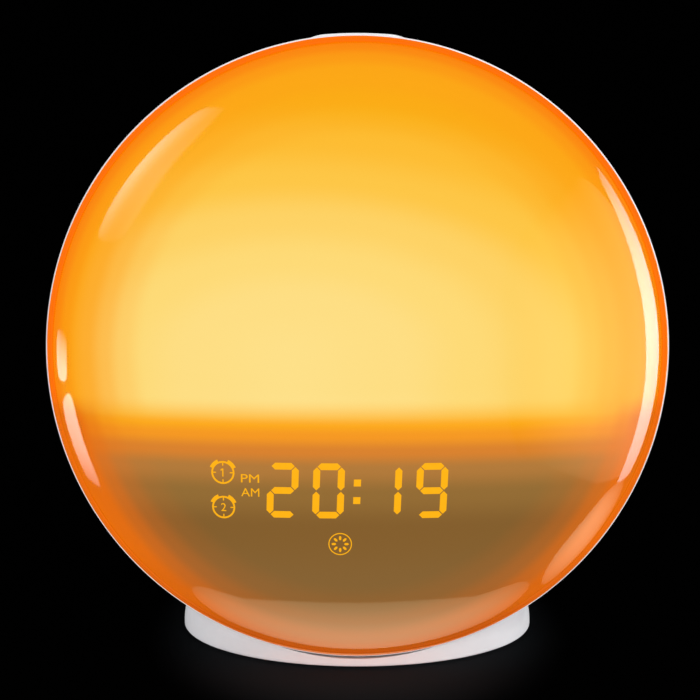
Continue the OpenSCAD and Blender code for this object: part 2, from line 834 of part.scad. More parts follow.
module speaker_basket() {
  top = speaker_flange_t;
  color("gray") head() translate([0, speaker_rise, speaker_face_z]) difference() {
    union() {
      cylinder(r = speaker_r, h = top);
      for (a = [45:90:315]) rotate([0, 0, a]) translate([ear_ring_r, 0, 0]) cylinder(d = ear_d, h = top);
      translate([0, 0, top]) cylinder(r1 = speaker_r - basket_step, r2 = magnet_r + 1, h = speaker_depth);
      translate([header_xs[1] - terminal_w / 2, terminal_y - speaker_rise - terminal_t / 2, top / 2])
        cube([terminal_w, terminal_t, top / 2 + terminal_h]);
    }
    translate([0, 0, -1]) cylinder(r = speaker_r - gasket_w, h = top + 1);
    translate([0, 0, top - EPS]) cylinder(r1 = speaker_r - gasket_w, r2 = magnet_r - 1, h = speaker_depth - 1.5);
    translate([0, 0, top]) cylinder(r = coil_r + coil_wall + coil_gap, h = speaker_depth + 1);
    for (a = [45:90:315]) rotate([0, 0, a])
      translate([ear_ring_r, 0, -1]) cylinder(d = screw_hole_d, h = top + 2);
  }
}

module speaker_magnet() {
  color([0.2, 0.2, 0.22]) head() translate([0, speaker_rise, speaker_back_z]) difference() {
    cylinder(r = magnet_r, h = magnet_h);
    translate([0, 0, -1]) difference() {
      cylinder(r = coil_r + coil_wall + coil_gap, h = magnet_h - 1);
      cylinder(r = coil_r - coil_gap, h = magnet_h);
    }
  }
}

module speaker_surround() {
  color([0.15, 0.15, 0.15]) head() translate([0, speaker_rise, speaker_face_z + 0.2]) difference() {
    cylinder(r = speaker_r - gasket_w, h = 0.8);
    translate([0, 0, -1]) cylinder(r = cone_r + 0.5, h = 3);
  }
}

module speaker_cone() {
  deep = speaker_depth - 3;
  color([0.1, 0.1, 0.1]) head() translate([0, speaker_rise, speaker_face_z + 0.2]) union() {
    difference() {
      cylinder(r1 = cone_r, r2 = coil_r + coil_wall, h = deep);
      translate([0, 0, -EPS]) cylinder(r1 = cone_r - 2 * cone_t, r2 = coil_r - cone_t, h = deep + 2 * EPS);
    }
    difference() {
      translate([0, 0, deep - 1]) cylinder(r = coil_r + coil_wall, h = speaker_back_z - speaker_face_z + 3 - deep);
      translate([0, 0, deep - 2]) cylinder(r = coil_r, h = speaker_back_z - speaker_face_z + 6 - deep);
    }
    translate([0, 0, deep - 1]) cylinder(r = coil_r + coil_wall / 2, h = 0.6);
  }
}

module speaker_screws() {
  head() for (p = ear_places()) translate([p[0], p[1], speaker_face_z + speaker_flange_t])
    screw(speaker_flange_t + ear_bite);
}

// ---------- side keys ----------

// Board for one side's five switches
module side_board(side) {
  color("darkgreen") head() mirror([side < 0 ? 1 : 0, 0, 0]) side_board_room(0);
}

module side_switches(side) {
  color([0.15, 0.15, 0.15]) head() mirror([side < 0 ? 1 : 0, 0, 0])
    for (y = key_ys) translate([side_board_x + board_t, y, key_z]) {
      translate([0, -switch_w / 2, -switch_w / 2]) cube([switch_h, switch_w, switch_w]);
      translate([switch_h - EPS, 0, 0]) rotate([0, 90, 0]) cylinder(d = actuator_d, h = actuator_h + EPS);
    }
}

// One side button: side -1 is the left one, and index runs up from the lowest
module side_button(side, index) {
  y = key_ys[index];
  seat = key_seat(y);
  tip = side_switch_tip + button_travel + stem_play;
  color("gainsboro") head() mirror([side < 0 ? 1 : 0, 0, 0]) union() {
    intersection() {
      translate([seat - EPS, y, key_z]) rotate([0, 90, 0]) cylinder(d = button_d, h = rim_r);
      housing_form(button_proud);
    }
    translate([seat - key_flange_t, y, key_z]) rotate([0, 90, 0]) cylinder(r = key_flange_r, h = key_flange_t);
    translate([tip, y, key_z]) rotate([0, 90, 0]) cylinder(d = key_stem_d, h = seat - tip - key_flange_t / 2);
  }
}

// ---------- snooze key ----------

module snooze_key() {
  slope = atan((outer_at(-snooze_front_z) - outer_at(snooze_w - snooze_front_z)) / snooze_w);
  mid_flange = snooze_flange_top - snooze_flange_t / 2;
  color("white") head() union() {
    intersection() {
      snooze_prism(0, mid_flange, rim_r + snooze_proud + 1);
      translate([0, outer_at(-snooze_front_z) + snooze_proud, snooze_front_z]) rotate([-slope, 0, 0])
        translate([0, -snooze_crown_r, -2 * snooze_w]) cylinder(r = snooze_crown_r, h = 3 * snooze_w);
    }
    snooze_prism(snooze_lip, snooze_flange_top - snooze_flange_t, snooze_flange_top);
    translate([0, mid_flange, snooze_z]) rotate([90, 0, 0])
      cylinder(d = snooze_stem_d, h = mid_flange - snooze_stem_tip);
  }
}

module snooze_board() {
  color("darkgreen") head() snooze_board_room(0);
}

module snooze_switch() {
  color([0.15, 0.15, 0.15]) head() translate([0, snooze_board_y + board_t, snooze_z]) {
    translate([-switch_w / 2, 0, -switch_w / 2]) cube([switch_w, switch_h, switch_w]);
    translate([0, switch_h - EPS, 0]) rotate([-90, 0, 0]) cylinder(d = actuator_d, h = actuator_h + EPS);
  }
}

// ---------- fasteners of the head ----------

module lens_screws() {
  head() for (a = lens_boss_angles) rotate([0, 0, a])
    translate([lens_boss_ring_r, 0, chassis_back_z]) mirror([0, 0, 1]) screw(chassis_t + boss_bite);
}

module housing_screws() {
  head() for (sx = [-1, 1], sy = [-1, 1])
    translate([sx * post_x, sy * post_y, post_end_z - post_floor]) mirror([0, 0, 1]) screw(post_floor + chassis_boss_h - 1);
}

module board_screws() {
  head() {
    for (p = main_screw_places()) translate([p[0], p[1], main_front_z]) screw(board_t + board_bite);
    for (s = [-1, 1]) translate([box_x + s * display_screw_dx, box_y, display_board_z + board_t]) screw(board_t + board_bite);
    for (p = lamp_screw_places()) translate([p[0], p[1], chassis_z + board_t]) screw(board_t + chassis_t - 0.4);
  }
}

// ---------- cables ----------

// The wires of a cable that end in a header on the main board's upper edge
module header_wires(x, bends) {
  for (k = [-1, 1]) {
    shift = [k * wire_pitch / 2, 0, 0];
    wire(concat(
      [for (b = bends) b + shift],
      [[x, main_y + header_dy, header_top_z + wire_end] + shift]
    ), wire_d);
  }
}

module lamp_cable() {
  color("red") head() header_wires(header_xs[0], [
    [lamp_cable_x, lamp_cable_y, chassis_z],
    [lamp_cable_x, lamp_cable_y, chassis_back_z - 2 * wire_rise]
  ]);
}

module display_ribbon() {
  t = ribbon_t / 2;
  color("gainsboro") head() translate([ribbon_x - ribbon_w / 2, ribbon_y, 0]) rotate([90, 0, 90])
    linear_extrude(ribbon_w)
      polygon([
        [-t, header_top_z], [-t, header_top_z + wire_rise],
        [ribbon_shift - t, chassis_back_z - wire_rise], [ribbon_shift - t, chassis_z + wire_rise],
        [-t, display_board_z - wire_rise], [-t, display_board_z],
        [t, display_board_z], [t, display_board_z - wire_rise],
        [ribbon_shift + t, chassis_z + wire_rise], [ribbon_shift + t, chassis_back_z - wire_rise],
        [t, header_top_z + wire_rise], [t, header_top_z]
      ]);
}

module speaker_leads() {
  terminal_z = speaker_face_z + speaker_flange_t + terminal_h;
  color("black") head() header_wires(header_xs[1], [
    [header_xs[1], terminal_y, terminal_z + wire_end],
    [header_xs[1], terminal_y - speaker_lead_reach, header_top_z + 2 * wire_rise]
  ]);
}

module button_cables() {
  color("gray") head() for (m = [0, 1], k = [-1, 0, 1]) mirror([m, 0, 0])
    wire([
      [side_board_x - wire_end, side_cable_y + k * wire_pitch, key_z],
      [side_board_x - side_cable_reach, side_cable_bend_y + k * wire_pitch, key_z],
      [side_header_x, main_y + side_header_dy + k * wire_pitch, header_top_z + wire_rise],
      [side_header_x, main_y + side_header_dy + k * wire_pitch, header_top_z]
    ], wire_d);
}

module snooze_cable() {
  cable_z = main_front_z + snooze_cable_rise;
  color("gray") head() header_wires(header_xs[2], [
    [snooze_cable_x, snooze_board_y, snooze_z],
    [snooze_cable_x, snooze_board_y - snooze_cable_drop, snooze_z],
    [snooze_cable_side_x, speaker_rise + speaker_r, cable_z],
    [snooze_cable_side_x, snooze_cable_low_y, cable_z],
    [header_xs[2], main_y + header_dy + wire_rise, header_top_z + wire_rise]
  ]);
}

// ---------- base ----------

// Points of the base's elliptical outline, drawn in by an inset
function base_outline(inset) = [for (t = [0:360 / base_sides:359.9])
  [(base_w / 2 - inset) * cos(t), (base_l / 2 - inset) * sin(t)]];

module base_block(inset, z0, z1) {
  translate([0, base_y, z0]) linear_extrude(z1 - z0) polygon(base_outline(inset));
}

// How far the base's side leans in at height z
function side_inset(z) = base_side_r - sqrt(pow(base_side_r, 2) - pow(z - base_low, 2));

// The hollow clears the plate's ledge below and leaves a whole wall where the side leans in above
hollow_inset = max(plate_inset + plate_ledge, side_inset(base_h - wall) + wall);

// The base's outer form: a small round at the table, then a side on a large arc
module base_outer() {
  hull() {
    for (a = [0:30:90])
      base_slice(base_edge_r * (1 - sin(a)), base_floor + base_edge_r * (1 - cos(a)));
    for (k = [1:base_bands]) {
      z = base_low + k * (base_h - base_low) / base_bands;
      base_slice(side_inset(z), z);
    }
  }
}

module base_slice(inset, z) {
  base_block(inset, z - EPS, z);
}

// Everything in front of the base plate's straight front edge
module ahead_of_plate(shift) {
  translate([-base_w, base_y + plate_front + shift - 2 * base_l, -1]) cube([2 * base_w, 2 * base_l, base_h + 2]);
}

module base_shell() {
  color("white") difference() {
    base_outer();
    head() head_room(cradle_gap);
    // hollow above the plate
    difference() {
      base_block(hollow_inset, base_floor, base_h - wall);
      head() head_room(cradle_gap + cradle_floor);
      ahead_of_plate(plate_ledge);
      for (p = plate_screw_places)
        translate([p[0], base_y + p[1], base_floor]) cylinder(d = boss_d, h = base_h);
      for (s = [-1, 1]) translate([s * cradle_screw_x, base_y + cradle_screw_dy, cradle_seat_z])
        cylinder(d = boss_d + 2, h = base_h);
    }
    // pocket of the plate
    difference() {
      base_block(plate_inset - slip_gap, base_floor - 1, base_floor + plate_t);
      ahead_of_plate(-slip_gap);
    }
    for (p = plate_screw_places)
      translate([p[0], base_y + p[1], base_floor]) cylinder(d = plate_screw_d, h = plate_t + plate_bite + pilot_spare);
    for (s = [-1, 1]) translate([s * cradle_screw_x, base_y + cradle_screw_dy, base_floor])
      cylinder(d = screw_hole_d, h = base_h);
    for (p = foot_places) if (p[1] < 0)
      translate([p[0], base_y + p[1], base_floor - 1]) cylinder(d = foot_d, h = foot_t - foot_proud + 1);
  }
}

module base_plate() {
  color("white") difference() {
    base_block(plate_inset, base_floor, base_floor + plate_t);
    ahead_of_plate(0);
    for (p = plate_screw_places) translate([p[0], base_y + p[1], 0]) {
      cylinder(d = plate_screw_d + screw_play, h = base_h);
      cylinder(d = plate_screw_head_d + screw_play, h = base_floor + plate_screw_head_h);
    }
    for (p = foot_places) if (p[1] > 0)
      translate([p[0], base_y + p[1], base_floor - 1]) cylinder(d = foot_d, h = foot_t - foot_proud + 1);
  }
}

module plate_screws() {
  for (p = plate_screw_places)
    translate([p[0], base_y + p[1], base_floor + plate_screw_head_h]) mirror([0, 0, 1])
      screw(plate_t - plate_screw_head_h + plate_bite, plate_screw_d, plate_screw_head_d, plate_screw_head_h);
}

module cradle_screws() {
  for (s = [-1, 1]) translate([s * cradle_screw_x, base_y + cradle_screw_dy, cradle_seat_z])
    mirror([0, 0, 1]) screw(cradle_screw_l);
}

module foot_pads() {
  color([0.25, 0.25, 0.25]) for (p = foot_places)
    translate([p[0], base_y + p[1], 0]) cylinder(d = foot_d, h = foot_t);
}

// ---------- the nodes ----------

front_lens();
rear_housing();
inner_chassis();
light_shelf();
lamp_board();
lamp_leds();
display_board();
display_leds();
display_light_box();
display_windows();
main_board();
main_chips();
clock_cell_holder();
clock_cell();
power_inlet();
power_inlet_pin();
speaker_gasket();
speaker_basket();
speaker_magnet();
speaker_surround();
speaker_cone();
speaker_screws();
side_board(-1);  // left_switch_board
side_board(1);  // right_switch_board
side_switches(-1);  // left_switches
side_switches(1);  // right_switches
side_button(-1, 0);  // left_button_1
side_button(-1, 1);  // left_button_2
side_button(-1, 2);  // left_button_3
side_button(-1, 3);  // left_button_4
side_button(-1, 4);  // left_button_5
side_button(1, 0);  // right_button_1
side_button(1, 1);  // right_button_2
side_button(1, 2);  // right_button_3
side_button(1, 3);  // right_button_4
side_button(1, 4);  // right_button_5
snooze_key();
snooze_board();
snooze_switch();
lens_screws();
housing_screws();
board_screws();
lamp_cable();
display_ribbon();
speaker_leads();
button_cables();
snooze_cable();
base_shell();
base_plate();
plate_screws();
cradle_screws();
foot_pads();
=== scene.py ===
"""Sunrise alarm clock: finished meshes and materials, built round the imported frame."""
import json
import logging
import math
from dataclasses import dataclass, field
from enum import Enum
from typing import Iterable, Sequence

import bmesh
import bpy
import numpy as np
from mathutils import Matrix, Vector
from mathutils.bvhtree import BVHTree
from mathutils.geometry import barycentric_transform


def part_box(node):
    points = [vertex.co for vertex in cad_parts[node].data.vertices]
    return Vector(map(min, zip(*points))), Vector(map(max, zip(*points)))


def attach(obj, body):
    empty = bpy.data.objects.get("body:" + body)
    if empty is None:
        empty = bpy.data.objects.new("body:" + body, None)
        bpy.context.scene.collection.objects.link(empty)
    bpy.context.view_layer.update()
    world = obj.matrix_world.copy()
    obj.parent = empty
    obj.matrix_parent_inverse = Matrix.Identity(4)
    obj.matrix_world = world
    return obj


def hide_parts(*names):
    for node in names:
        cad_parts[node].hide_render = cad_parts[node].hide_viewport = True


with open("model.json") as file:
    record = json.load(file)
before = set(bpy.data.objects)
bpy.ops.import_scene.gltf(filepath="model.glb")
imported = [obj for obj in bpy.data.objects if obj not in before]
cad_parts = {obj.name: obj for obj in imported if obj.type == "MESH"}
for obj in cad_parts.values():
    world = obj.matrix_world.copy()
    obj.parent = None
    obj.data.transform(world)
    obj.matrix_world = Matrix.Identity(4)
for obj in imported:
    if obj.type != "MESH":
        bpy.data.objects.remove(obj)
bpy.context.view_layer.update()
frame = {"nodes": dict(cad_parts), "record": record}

LOG = logging.getLogger("clock")
MM = 0.001
TOUCHING = 1e-4
Colour = tuple[int, int, int]
Point = tuple[float, float]
Place = tuple[float, float, float]
Socket = bpy.types.NodeSocket
Material = bpy.types.Material
Piece = bpy.types.Object


def linear(colour: Colour) -> tuple[float, float, float, float]:
    """Turn an 8-bit screen colour into the linear colour that a socket takes."""
    shares = [c / 255 for c in colour]
    return (*[s / 12.92 if s <= 0.04045 else ((s + 0.055) / 1.055) ** 2.4 for s in shares], 1.0)


# ---------- frames and meshes ----------


@dataclass(frozen=True)
class HeadFrame:
    """The leaning head's own frame in millimetres: X right, Y up the face, Z out of the front."""

    origin: Vector
    tilt: float

    INLET = Vector((14.0, -36.0, -41.4))

    @classmethod
    def measured(cls, record: dict) -> "HeadFrame":
        """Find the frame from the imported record.

        Args:
            record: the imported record, with the inlet's mount and the snooze key's joint.

        Returns:
            The frame in which the inlet's mount lies at INLET.
        """
        down = next(j["axis"] for j in record["behaviour"]["joints"] if j["name"] == "snooze_press")
        tilt = math.pi / 2 - math.atan2(-down[1], -down[2])
        inlet = next(m["pos_m"] for m in record["mounts"] if m["name"] == "power_inlet_bore")
        turned = Matrix.Rotation(tilt, 3, "X") @ cls.INLET
        return cls(Vector(inlet) - turned * MM, tilt)

    @property
    def matrix(self) -> Matrix:
        """Millimetres of the head to metres of the row."""
        turn = Matrix.Rotation(self.tilt, 4, "X")
        return Matrix.Translation(self.origin) @ turn @ Matrix.Diagonal((MM, MM, MM, 1))


def new_object(name: str, mesh: bpy.types.Mesh) -> Piece:
    """Link a new object that holds this mesh."""
    piece = bpy.data.objects.new(name, mesh)
    bpy.context.scene.collection.objects.link(piece)
    return piece


def mesh_of(points: Iterable[Sequence[float]], faces: Iterable[Sequence[int]] = ()) -> bpy.types.Mesh:
    """Make a mesh from points and faces."""
    mesh = bpy.data.meshes.new("mesh")
    mesh.from_pydata([tuple(p) for p in points], [], [tuple(f) for f in faces])
    return mesh


def smooth(mesh: bpy.types.Mesh, angle: float = 32.0) -> None:
    """Shade a mesh smooth, with its edges sharp above an angle in degrees."""
    mesh.shade_smooth()
    mesh.set_sharp_from_angle(angle=math.radians(angle))


def skin(rings: Sequence[np.ndarray]) -> bpy.types.Mesh:
    """Stretch a closed skin over rings of equal length.

    Args:
        rings: loops of points that run counter-clockwise when seen from the last ring's side.

    Returns:
        A closed mesh, with a fan on the first and on the last ring.
    """
    count = len(rings[0])
    points = np.concatenate([*rings, [rings[0].mean(0)], [rings[-1].mean(0)]])
    faces = []
    for k in range(len(rings) - 1):
        for i in range(count):
            j = (i + 1) % count
            a, b = k * count, (k + 1) * count
            faces.append((a + i, a + j, b + j, b + i))
    low, high, top = len(points) - 2, len(points) - 1, (len(rings) - 1) * count
    for i in range(count):
        j = (i + 1) % count
        faces += [(low, j, i), (high, top + i, top + j)]
    return mesh_of(points, faces)


def weld(mesh: bpy.types.Mesh) -> None:
    """Merge points that lie on each other, in a mesh in millimetres."""
    work = bmesh.new()
    work.from_mesh(mesh)
    bmesh.ops.remove_doubles(work, verts=work.verts, dist=TOUCHING)
    work.to_mesh(mesh)
    work.free()


def mirror(mesh: bpy.types.Mesh) -> None:
    """Turn a right-hand mesh into a left-hand one."""
    mesh.transform(Matrix.Scale(-1, 4, (1, 0, 0)))
    mesh.flip_normals()


def joined(name: str, pieces: Sequence[Piece]) -> Piece:
    """Put several objects' meshes into one new object and remove them."""
    whole = bmesh.new()
    for piece in pieces:
        whole.from_mesh(piece.data)
    mesh = bpy.data.meshes.new(name)
    whole.to_mesh(mesh)
    whole.free()
    for piece in pieces:
        bpy.data.objects.remove(piece)
    return new_object(name, mesh)


def settle(piece: Piece) -> None:
    """Keep what a piece's modifiers make as its plain mesh, and take the modifiers off."""
    depsgraph = bpy.context.evaluated_depsgraph_get()
    result = bpy.data.meshes.new_from_object(piece.evaluated_get(depsgraph))
    piece.modifiers.clear()
    piece.data = result


class Cut(Enum):
    """What a Boolean step does with the second body."""

    JOIN = "UNION"
    TAKE = "DIFFERENCE"


def carve(piece: Piece, tool: Piece, cut: Cut) -> None:
    """Join a tool to a piece or take it away, and keep the plain result as the piece's mesh."""
    step = piece.modifiers.new("carve", "BOOLEAN")
    step.object = tool
    step.operation = cut.value
    step.solver = "EXACT"
    settle(piece)


class NormalKeeper:
    """Hands the smooth normals of uncut surfaces on to a mesh that was cut from them.

    NUDGE is the share of the way from a corner to its face's middle at which a surface is read,
    AGREEMENT the least cosine between a surface's normal and the face's, and TURNED the
    millimetres that a surface facing the other way counts as farther.
    """

    NUDGE = 0.02
    AGREEMENT = 0.7
    TURNED = 0.2

    def __init__(self) -> None:
        """Start with no surfaces."""
        self.surfaces: list[tuple] = []

    def remember(self, piece: Piece, side: float = 1.0) -> None:
        """Keep a copy of a piece's surface; side is -1 for a tool that was taken away."""
        mesh = piece.data
        smooth(mesh)
        mesh.calc_loop_triangles()
        points = [v.co.copy() for v in mesh.vertices]
        corners = [tuple(t.vertices) for t in mesh.loop_triangles]
        normals = [n.vector.copy() * side for n in mesh.corner_normals]
        shading = [tuple(normals[k] for k in t.loops) for t in mesh.loop_triangles]
        self.surfaces.append((BVHTree.FromPolygons(points, corners), points, corners, shading, side))

    def dress(self, mesh: bpy.types.Mesh) -> None:
        """Give every corner the normal of the surface that its face was cut from."""
        mesh.shade_smooth()
        normals: list[Vector] = [Vector((0, 0, 1))] * len(mesh.loops)
        for face in mesh.polygons:
            surface = min(self.surfaces, key=lambda s: self._distance(s, face))
            for k in face.loop_indices:
                corner = mesh.vertices[mesh.loops[k].vertex_index].co
                found = self._normal(surface, corner.lerp(face.center, self.NUDGE))
                agrees = found.dot(face.normal) > self.AGREEMENT
                normals[k] = found if agrees else face.normal.copy()
        mesh.normals_split_custom_set(normals)

    def _distance(self, surface: tuple, face: bpy.types.MeshPolygon) -> float:
        """How badly a surface fits a face: its distance, and more where it faces another way."""
        _, normal, _, distance = surface[0].find_nearest(face.center)
        return distance + self.TURNED * (1 - normal.dot(face.normal) * surface[4])

    @staticmethod
    def _normal(surface: tuple, spot: Vector) -> Vector:
        """The shading normal of a surface at the place nearest to a spot."""
        tree, points, corners, shading, _ = surface
        place, _, index, _ = tree.find_nearest(spot)
        a, b, c = (points[k] for k in corners[index])
        return barycentric_transform(place, a, b, c, *shading[index]).normalized()


# ---------- node trees ----------


class Wiring:
    """Adds nodes to one tree and links them."""

    def __init__(self, tree: bpy.types.NodeTree) -> None:
        """Work on this tree."""
        self.tree = tree

    def add(self, kind: str, wires: dict | None = None, **settings: object) -> bpy.types.Node:
        """Add a node.

        Args:
            kind: the node's type.
            wires: for each input, by name or number, the socket to link or the value to set.
            settings: the node's own options.

        Returns:
            The new node.
        """
        node = self.tree.nodes.new(kind)
        for key, value in settings.items():
            setattr(node, key, value)
        for key, value in (wires or {}).items():
            if isinstance(value, Socket):
                self.tree.links.new(value, node.inputs[key])
            else:
                node.inputs[key].default_value = value
        return node

    def math(self, operation: str, *values: object) -> Socket:
        """Add a Math node and return its result."""
        node = self.add("ShaderNodeMath", dict(enumerate(values)), operation=operation)
        return node.outputs[0]

    def mix(self, share: object, first: object, second: object, blend: str = "MIX") -> Socket:
        """Add a colour Mix node and return its result."""
        wires = {"Factor": share, 6: first, 7: second}
        return self.add("ShaderNodeMix", wires, data_type="RGBA", blend_type=blend).outputs[2]

    def dim(self, colour: Socket, share: float) -> Socket:
        """Multiply a colour by a share."""
        return self.mix(1.0, colour, (share, share, share, 1), blend="MULTIPLY")

    def ease(
        self, value: object, low: float, high: float, start: float = 0.0, end: float = 1.0
    ) -> Socket:
        """Go smoothly from start to end while a value goes from low to high."""
        wires = {"Value": value, "From Min": low, "From Max": high, "To Min": start, "To Max": end}
        return self.add("ShaderNodeMapRange", wires, interpolation_type="SMOOTHSTEP").outputs[0]

    def close_one_sided(self, front: bpy.types.Node) -> None:
        """End a material in a shader that is clear when it is seen from behind."""
        rear = self.add("ShaderNodeNewGeometry").outputs["Backfacing"]
        clear = self.add("ShaderNodeBsdfTransparent")
        shader = self.add("ShaderNodeMixShader", {0: rear, 1: front.outputs[0], 2: clear.outputs[0]})
        self.add("ShaderNodeOutputMaterial", {0: shader.outputs[0]})


def blank_material(name: str) -> tuple[Material, Wiring]:
    """Make a material with an empty tree, and the wiring to fill it."""
    material = bpy.data.materials.new(name)
    material.use_nodes = True
    material.node_tree.nodes.clear()
    return material, Wiring(material.node_tree)


class Grower(Wiring):
    """A Geometry Nodes tree with named inputs, run once on a mesh to make a plain piece."""

    def __init__(self, name: str) -> None:
        """Start a tree with a mesh, a material and one result."""
        super().__init__(bpy.data.node_groups.new(name, "GeometryNodeTree"))
        sockets = self.tree.interface
        sockets.new_socket("Mesh", in_out="INPUT", socket_type="NodeSocketGeometry")
        sockets.new_socket("Mesh", in_out="OUTPUT", socket_type="NodeSocketGeometry")
        self.entry = self.tree.nodes.new("NodeGroupInput")
        self.material = self.input("Material", "Material")

    def input(self, name: str, kind: str = "Float") -> Socket:
        """Add a named input and return its socket."""
        self.tree.interface.new_socket(name, in_out="INPUT", socket_type="NodeSocket" + kind)
        return self.entry.outputs[name]

    def grid_place(self, rows: Socket) -> tuple[Socket, ...]:
        """The column and the row of every point of a grid with this many rows."""
        index = self.add("GeometryNodeInputIndex").outputs[0]
        column = self.math("FLOOR", self.math("DIVIDE", self.math("ADD", index, 0.5), rows))
        return column, self.math("SUBTRACT", index, self.math("MULTIPLY", column, rows))

    def copies(self, points: Socket, stamp: Socket, **wires: object) -> Socket:
        """Put a copy of a stamp on every point."""
        source = self.add("GeometryNodeObjectInfo", {"Object": stamp, "As Instance": True})
        ends = {"Points": points, "Instance": source.outputs["Geometry"]}
        return self.add("GeometryNodeInstanceOnPoints", ends | wires).outputs[0]

    def close(self, result: Socket) -> None:
        """End the tree in Realize Instances and Set Material."""
        real = self.add("GeometryNodeRealizeInstances", {0: result})
        dressed = self.add("GeometryNodeSetMaterial", {0: real.outputs[0], "Material": self.material})
        self.add("NodeGroupOutput", {0: dressed.outputs[0]})

    def grow(self, name: str, seed: bpy.types.Mesh, **sizes: object) -> Piece:
        """Run the tree.

        Args:
            name: the new piece's name.
            seed: the mesh that goes into the tree.
            sizes: the tree's inputs, with an underscore for each space.

        Returns:
            A piece with a plain mesh and no modifier.
        """
        piece = new_object(name, seed)
        step = piece.modifiers.new(self.tree.name, "NODES")
        step.node_group = self.tree
        for item in self.tree.interface.items_tree:
            value = sizes.get(item.name.replace(" ", "_"))
            if item.in_out == "INPUT" and value is not None:
                step[item.identifier] = value
        settle(piece)
        return piece


class Lathe(Grower):
    """Turns a half outline round the Z axis into a closed skin, with points on the axis merged."""

    MERGE = 0.001

    def __init__(self) -> None:
        """Build the tree: a grid whose rows take the outline's points and whose columns turn."""
        super().__init__("Lathe")
        steps = self.input("Steps", "Int")
        outline = self.entry.outputs["Mesh"]
        count = self.add("GeometryNodeAttributeDomainSize", {0: outline}).outputs["Point Count"]
        columns = self.math("ADD", steps, 1.0)
        grid = self.add("GeometryNodeMeshGrid", {"Vertices X": columns, "Vertices Y": count})
        column, row = self.grid_place(count)
        spot = self.add("GeometryNodeInputPosition").outputs[0]
        wires = {0: outline, "Value": spot, "Index": row}
        taken = self.add("GeometryNodeSampleIndex", wires, data_type="FLOAT_VECTOR")
        parts = self.add("ShaderNodeSeparateXYZ", {0: taken.outputs[0]}).outputs
        angle = self.math("MULTIPLY", self.math("DIVIDE", column, steps), math.tau)
        turned = self.add("ShaderNodeCombineXYZ", {
            "X": self.math("MULTIPLY", parts["X"], self.math("COSINE", angle)),
            "Y": self.math("MULTIPLY", parts["X"], self.math("SINE", angle)),
            "Z": parts["Z"],
        })
        placed = self.add("GeometryNodeSetPosition", {
            0: grid.outputs[0], "Position": turned.outputs[0],
        })
        shut = self.add("GeometryNodeMergeByDistance", {
            0: placed.outputs[0], "Distance": self.MERGE,
        })
        self.close(shut.outputs[0])

    def turn(self, name: str, outline: "Outline", steps: int) -> Piece:
        """Turn an outline into a piece in millimetres."""
        seed = mesh_of([(r, 0.0, z) for r, z in outline.points])
        return self.grow(name, seed, Steps=steps)


class Outline:
    """Half outline of a turned piece: radius and height in millimetres, drawn counter-clockwise."""

    LEAST_STEP = 0.002

    def __init__(self, r: float, z: float) -> None:
        """Start at a point."""
        self.points: list[Point] = [(r, z)]

    def to(self, *points: Point) -> "Outline":
        """Go on through points."""
        self.points += points
        return self

    def arc(self, centre: Point, radius: float, start: float, end: float, steps: int) -> "Outline":
        """Go on along an arc, from a start to an end angle in degrees."""
        for k in range(steps + 1):
            a = math.radians(start + (end - start) * k / steps)
            point = (centre[0] + radius * math.cos(a), centre[1] + radius * math.sin(a))
            if math.dist(point, self.points[-1]) > self.LEAST_STEP:
                self.points.append(point)
        return self

    def bored(self, r: float, z: float) -> "Outline":
        """Go to a last point and close the loop, for a piece with a hole along its axis."""
        self.points += [(r, z), self.points[0]]
        return self


class Stamper(Grower):
    """Puts a copy of a stamp on every point of a mesh, turned by the point's own angle."""

    def __init__(self) -> None:
        """Build the tree: instances of one object, turned by the attribute named turn."""
        super().__init__("Stamper")
        stamp = self.input("Stamp", "Object")
        turn = self.add("GeometryNodeInputNamedAttribute", {"Name": "turn"}, data_type="FLOAT")
        angles = self.add("ShaderNodeCombineXYZ", {"Z": turn.outputs[0]})
        self.close(self.copies(self.entry.outputs["Mesh"], stamp, Rotation=angles.outputs[0]))

    def stamp(self, name: str, tool: Piece, places: Sequence[Place]) -> Piece:
        """Stamp a tool at (x, y, angle in degrees) places in one plane, and remove the tool."""
        seed = mesh_of([(x, y, 0.0) for x, y, _ in places])
        turn = seed.attributes.new("turn", "FLOAT", "POINT")
        turn.data.foreach_set("value", [math.radians(a) for _, _, a in places])
        piece = self.grow(name, seed, Stamp=tool)
        bpy.data.objects.remove(tool)
        return piece


class HoleField(Grower):
    """A round field of tools in hexagonal rows, for a perforated panel.

    ROW_SHARE is the step between two rows, as a share of the pitch along a row.
    """

    ROW_SHARE = math.sin(math.radians(60))

    def __init__(self) -> None:
        """Build the tree: a square field of points, shifted every other row and cut to a circle."""
        super().__init__("Hole field")
        stamp = self.input("Stamp", "Object")
        pitch = self.input("Pitch")
        radius = self.input("Field radius")
        rows = self.input("Rows", "Int")
        grid = self.add("GeometryNodeMeshGrid", {"Vertices X": rows, "Vertices Y": rows})
        column, line = self.grid_place(rows)
        middle = self.math("DIVIDE", self.math("SUBTRACT", rows, 1.0), 2.0)
        row = self.math("SUBTRACT", line, middle)
        odd = self.math("MODULO", self.math("ABSOLUTE", row), 2.0)
        across = self.math("ADD", self.math("SUBTRACT", column, middle), self.math("DIVIDE", odd, 2.0))
        spot = self.add("ShaderNodeCombineXYZ", {
            "X": self.math("MULTIPLY", across, pitch),
            "Y": self.math("MULTIPLY", self.math("MULTIPLY", row, pitch), self.ROW_SHARE),
        })
        placed = self.add("GeometryNodeSetPosition", {0: grid.outputs[0], "Position": spot.outputs[0]})
        here = self.add("GeometryNodeInputPosition").outputs[0]
        reach = self.add("ShaderNodeVectorMath", {0: here}, operation="LENGTH").outputs["Value"]
        outside = self.math("GREATER_THAN", reach, radius)
        kept = self.add("GeometryNodeDeleteGeometry", {0: placed.outputs[0], "Selection": outside})
        self.close(self.copies(kept.outputs[0], stamp))


# ---------- finishes ----------


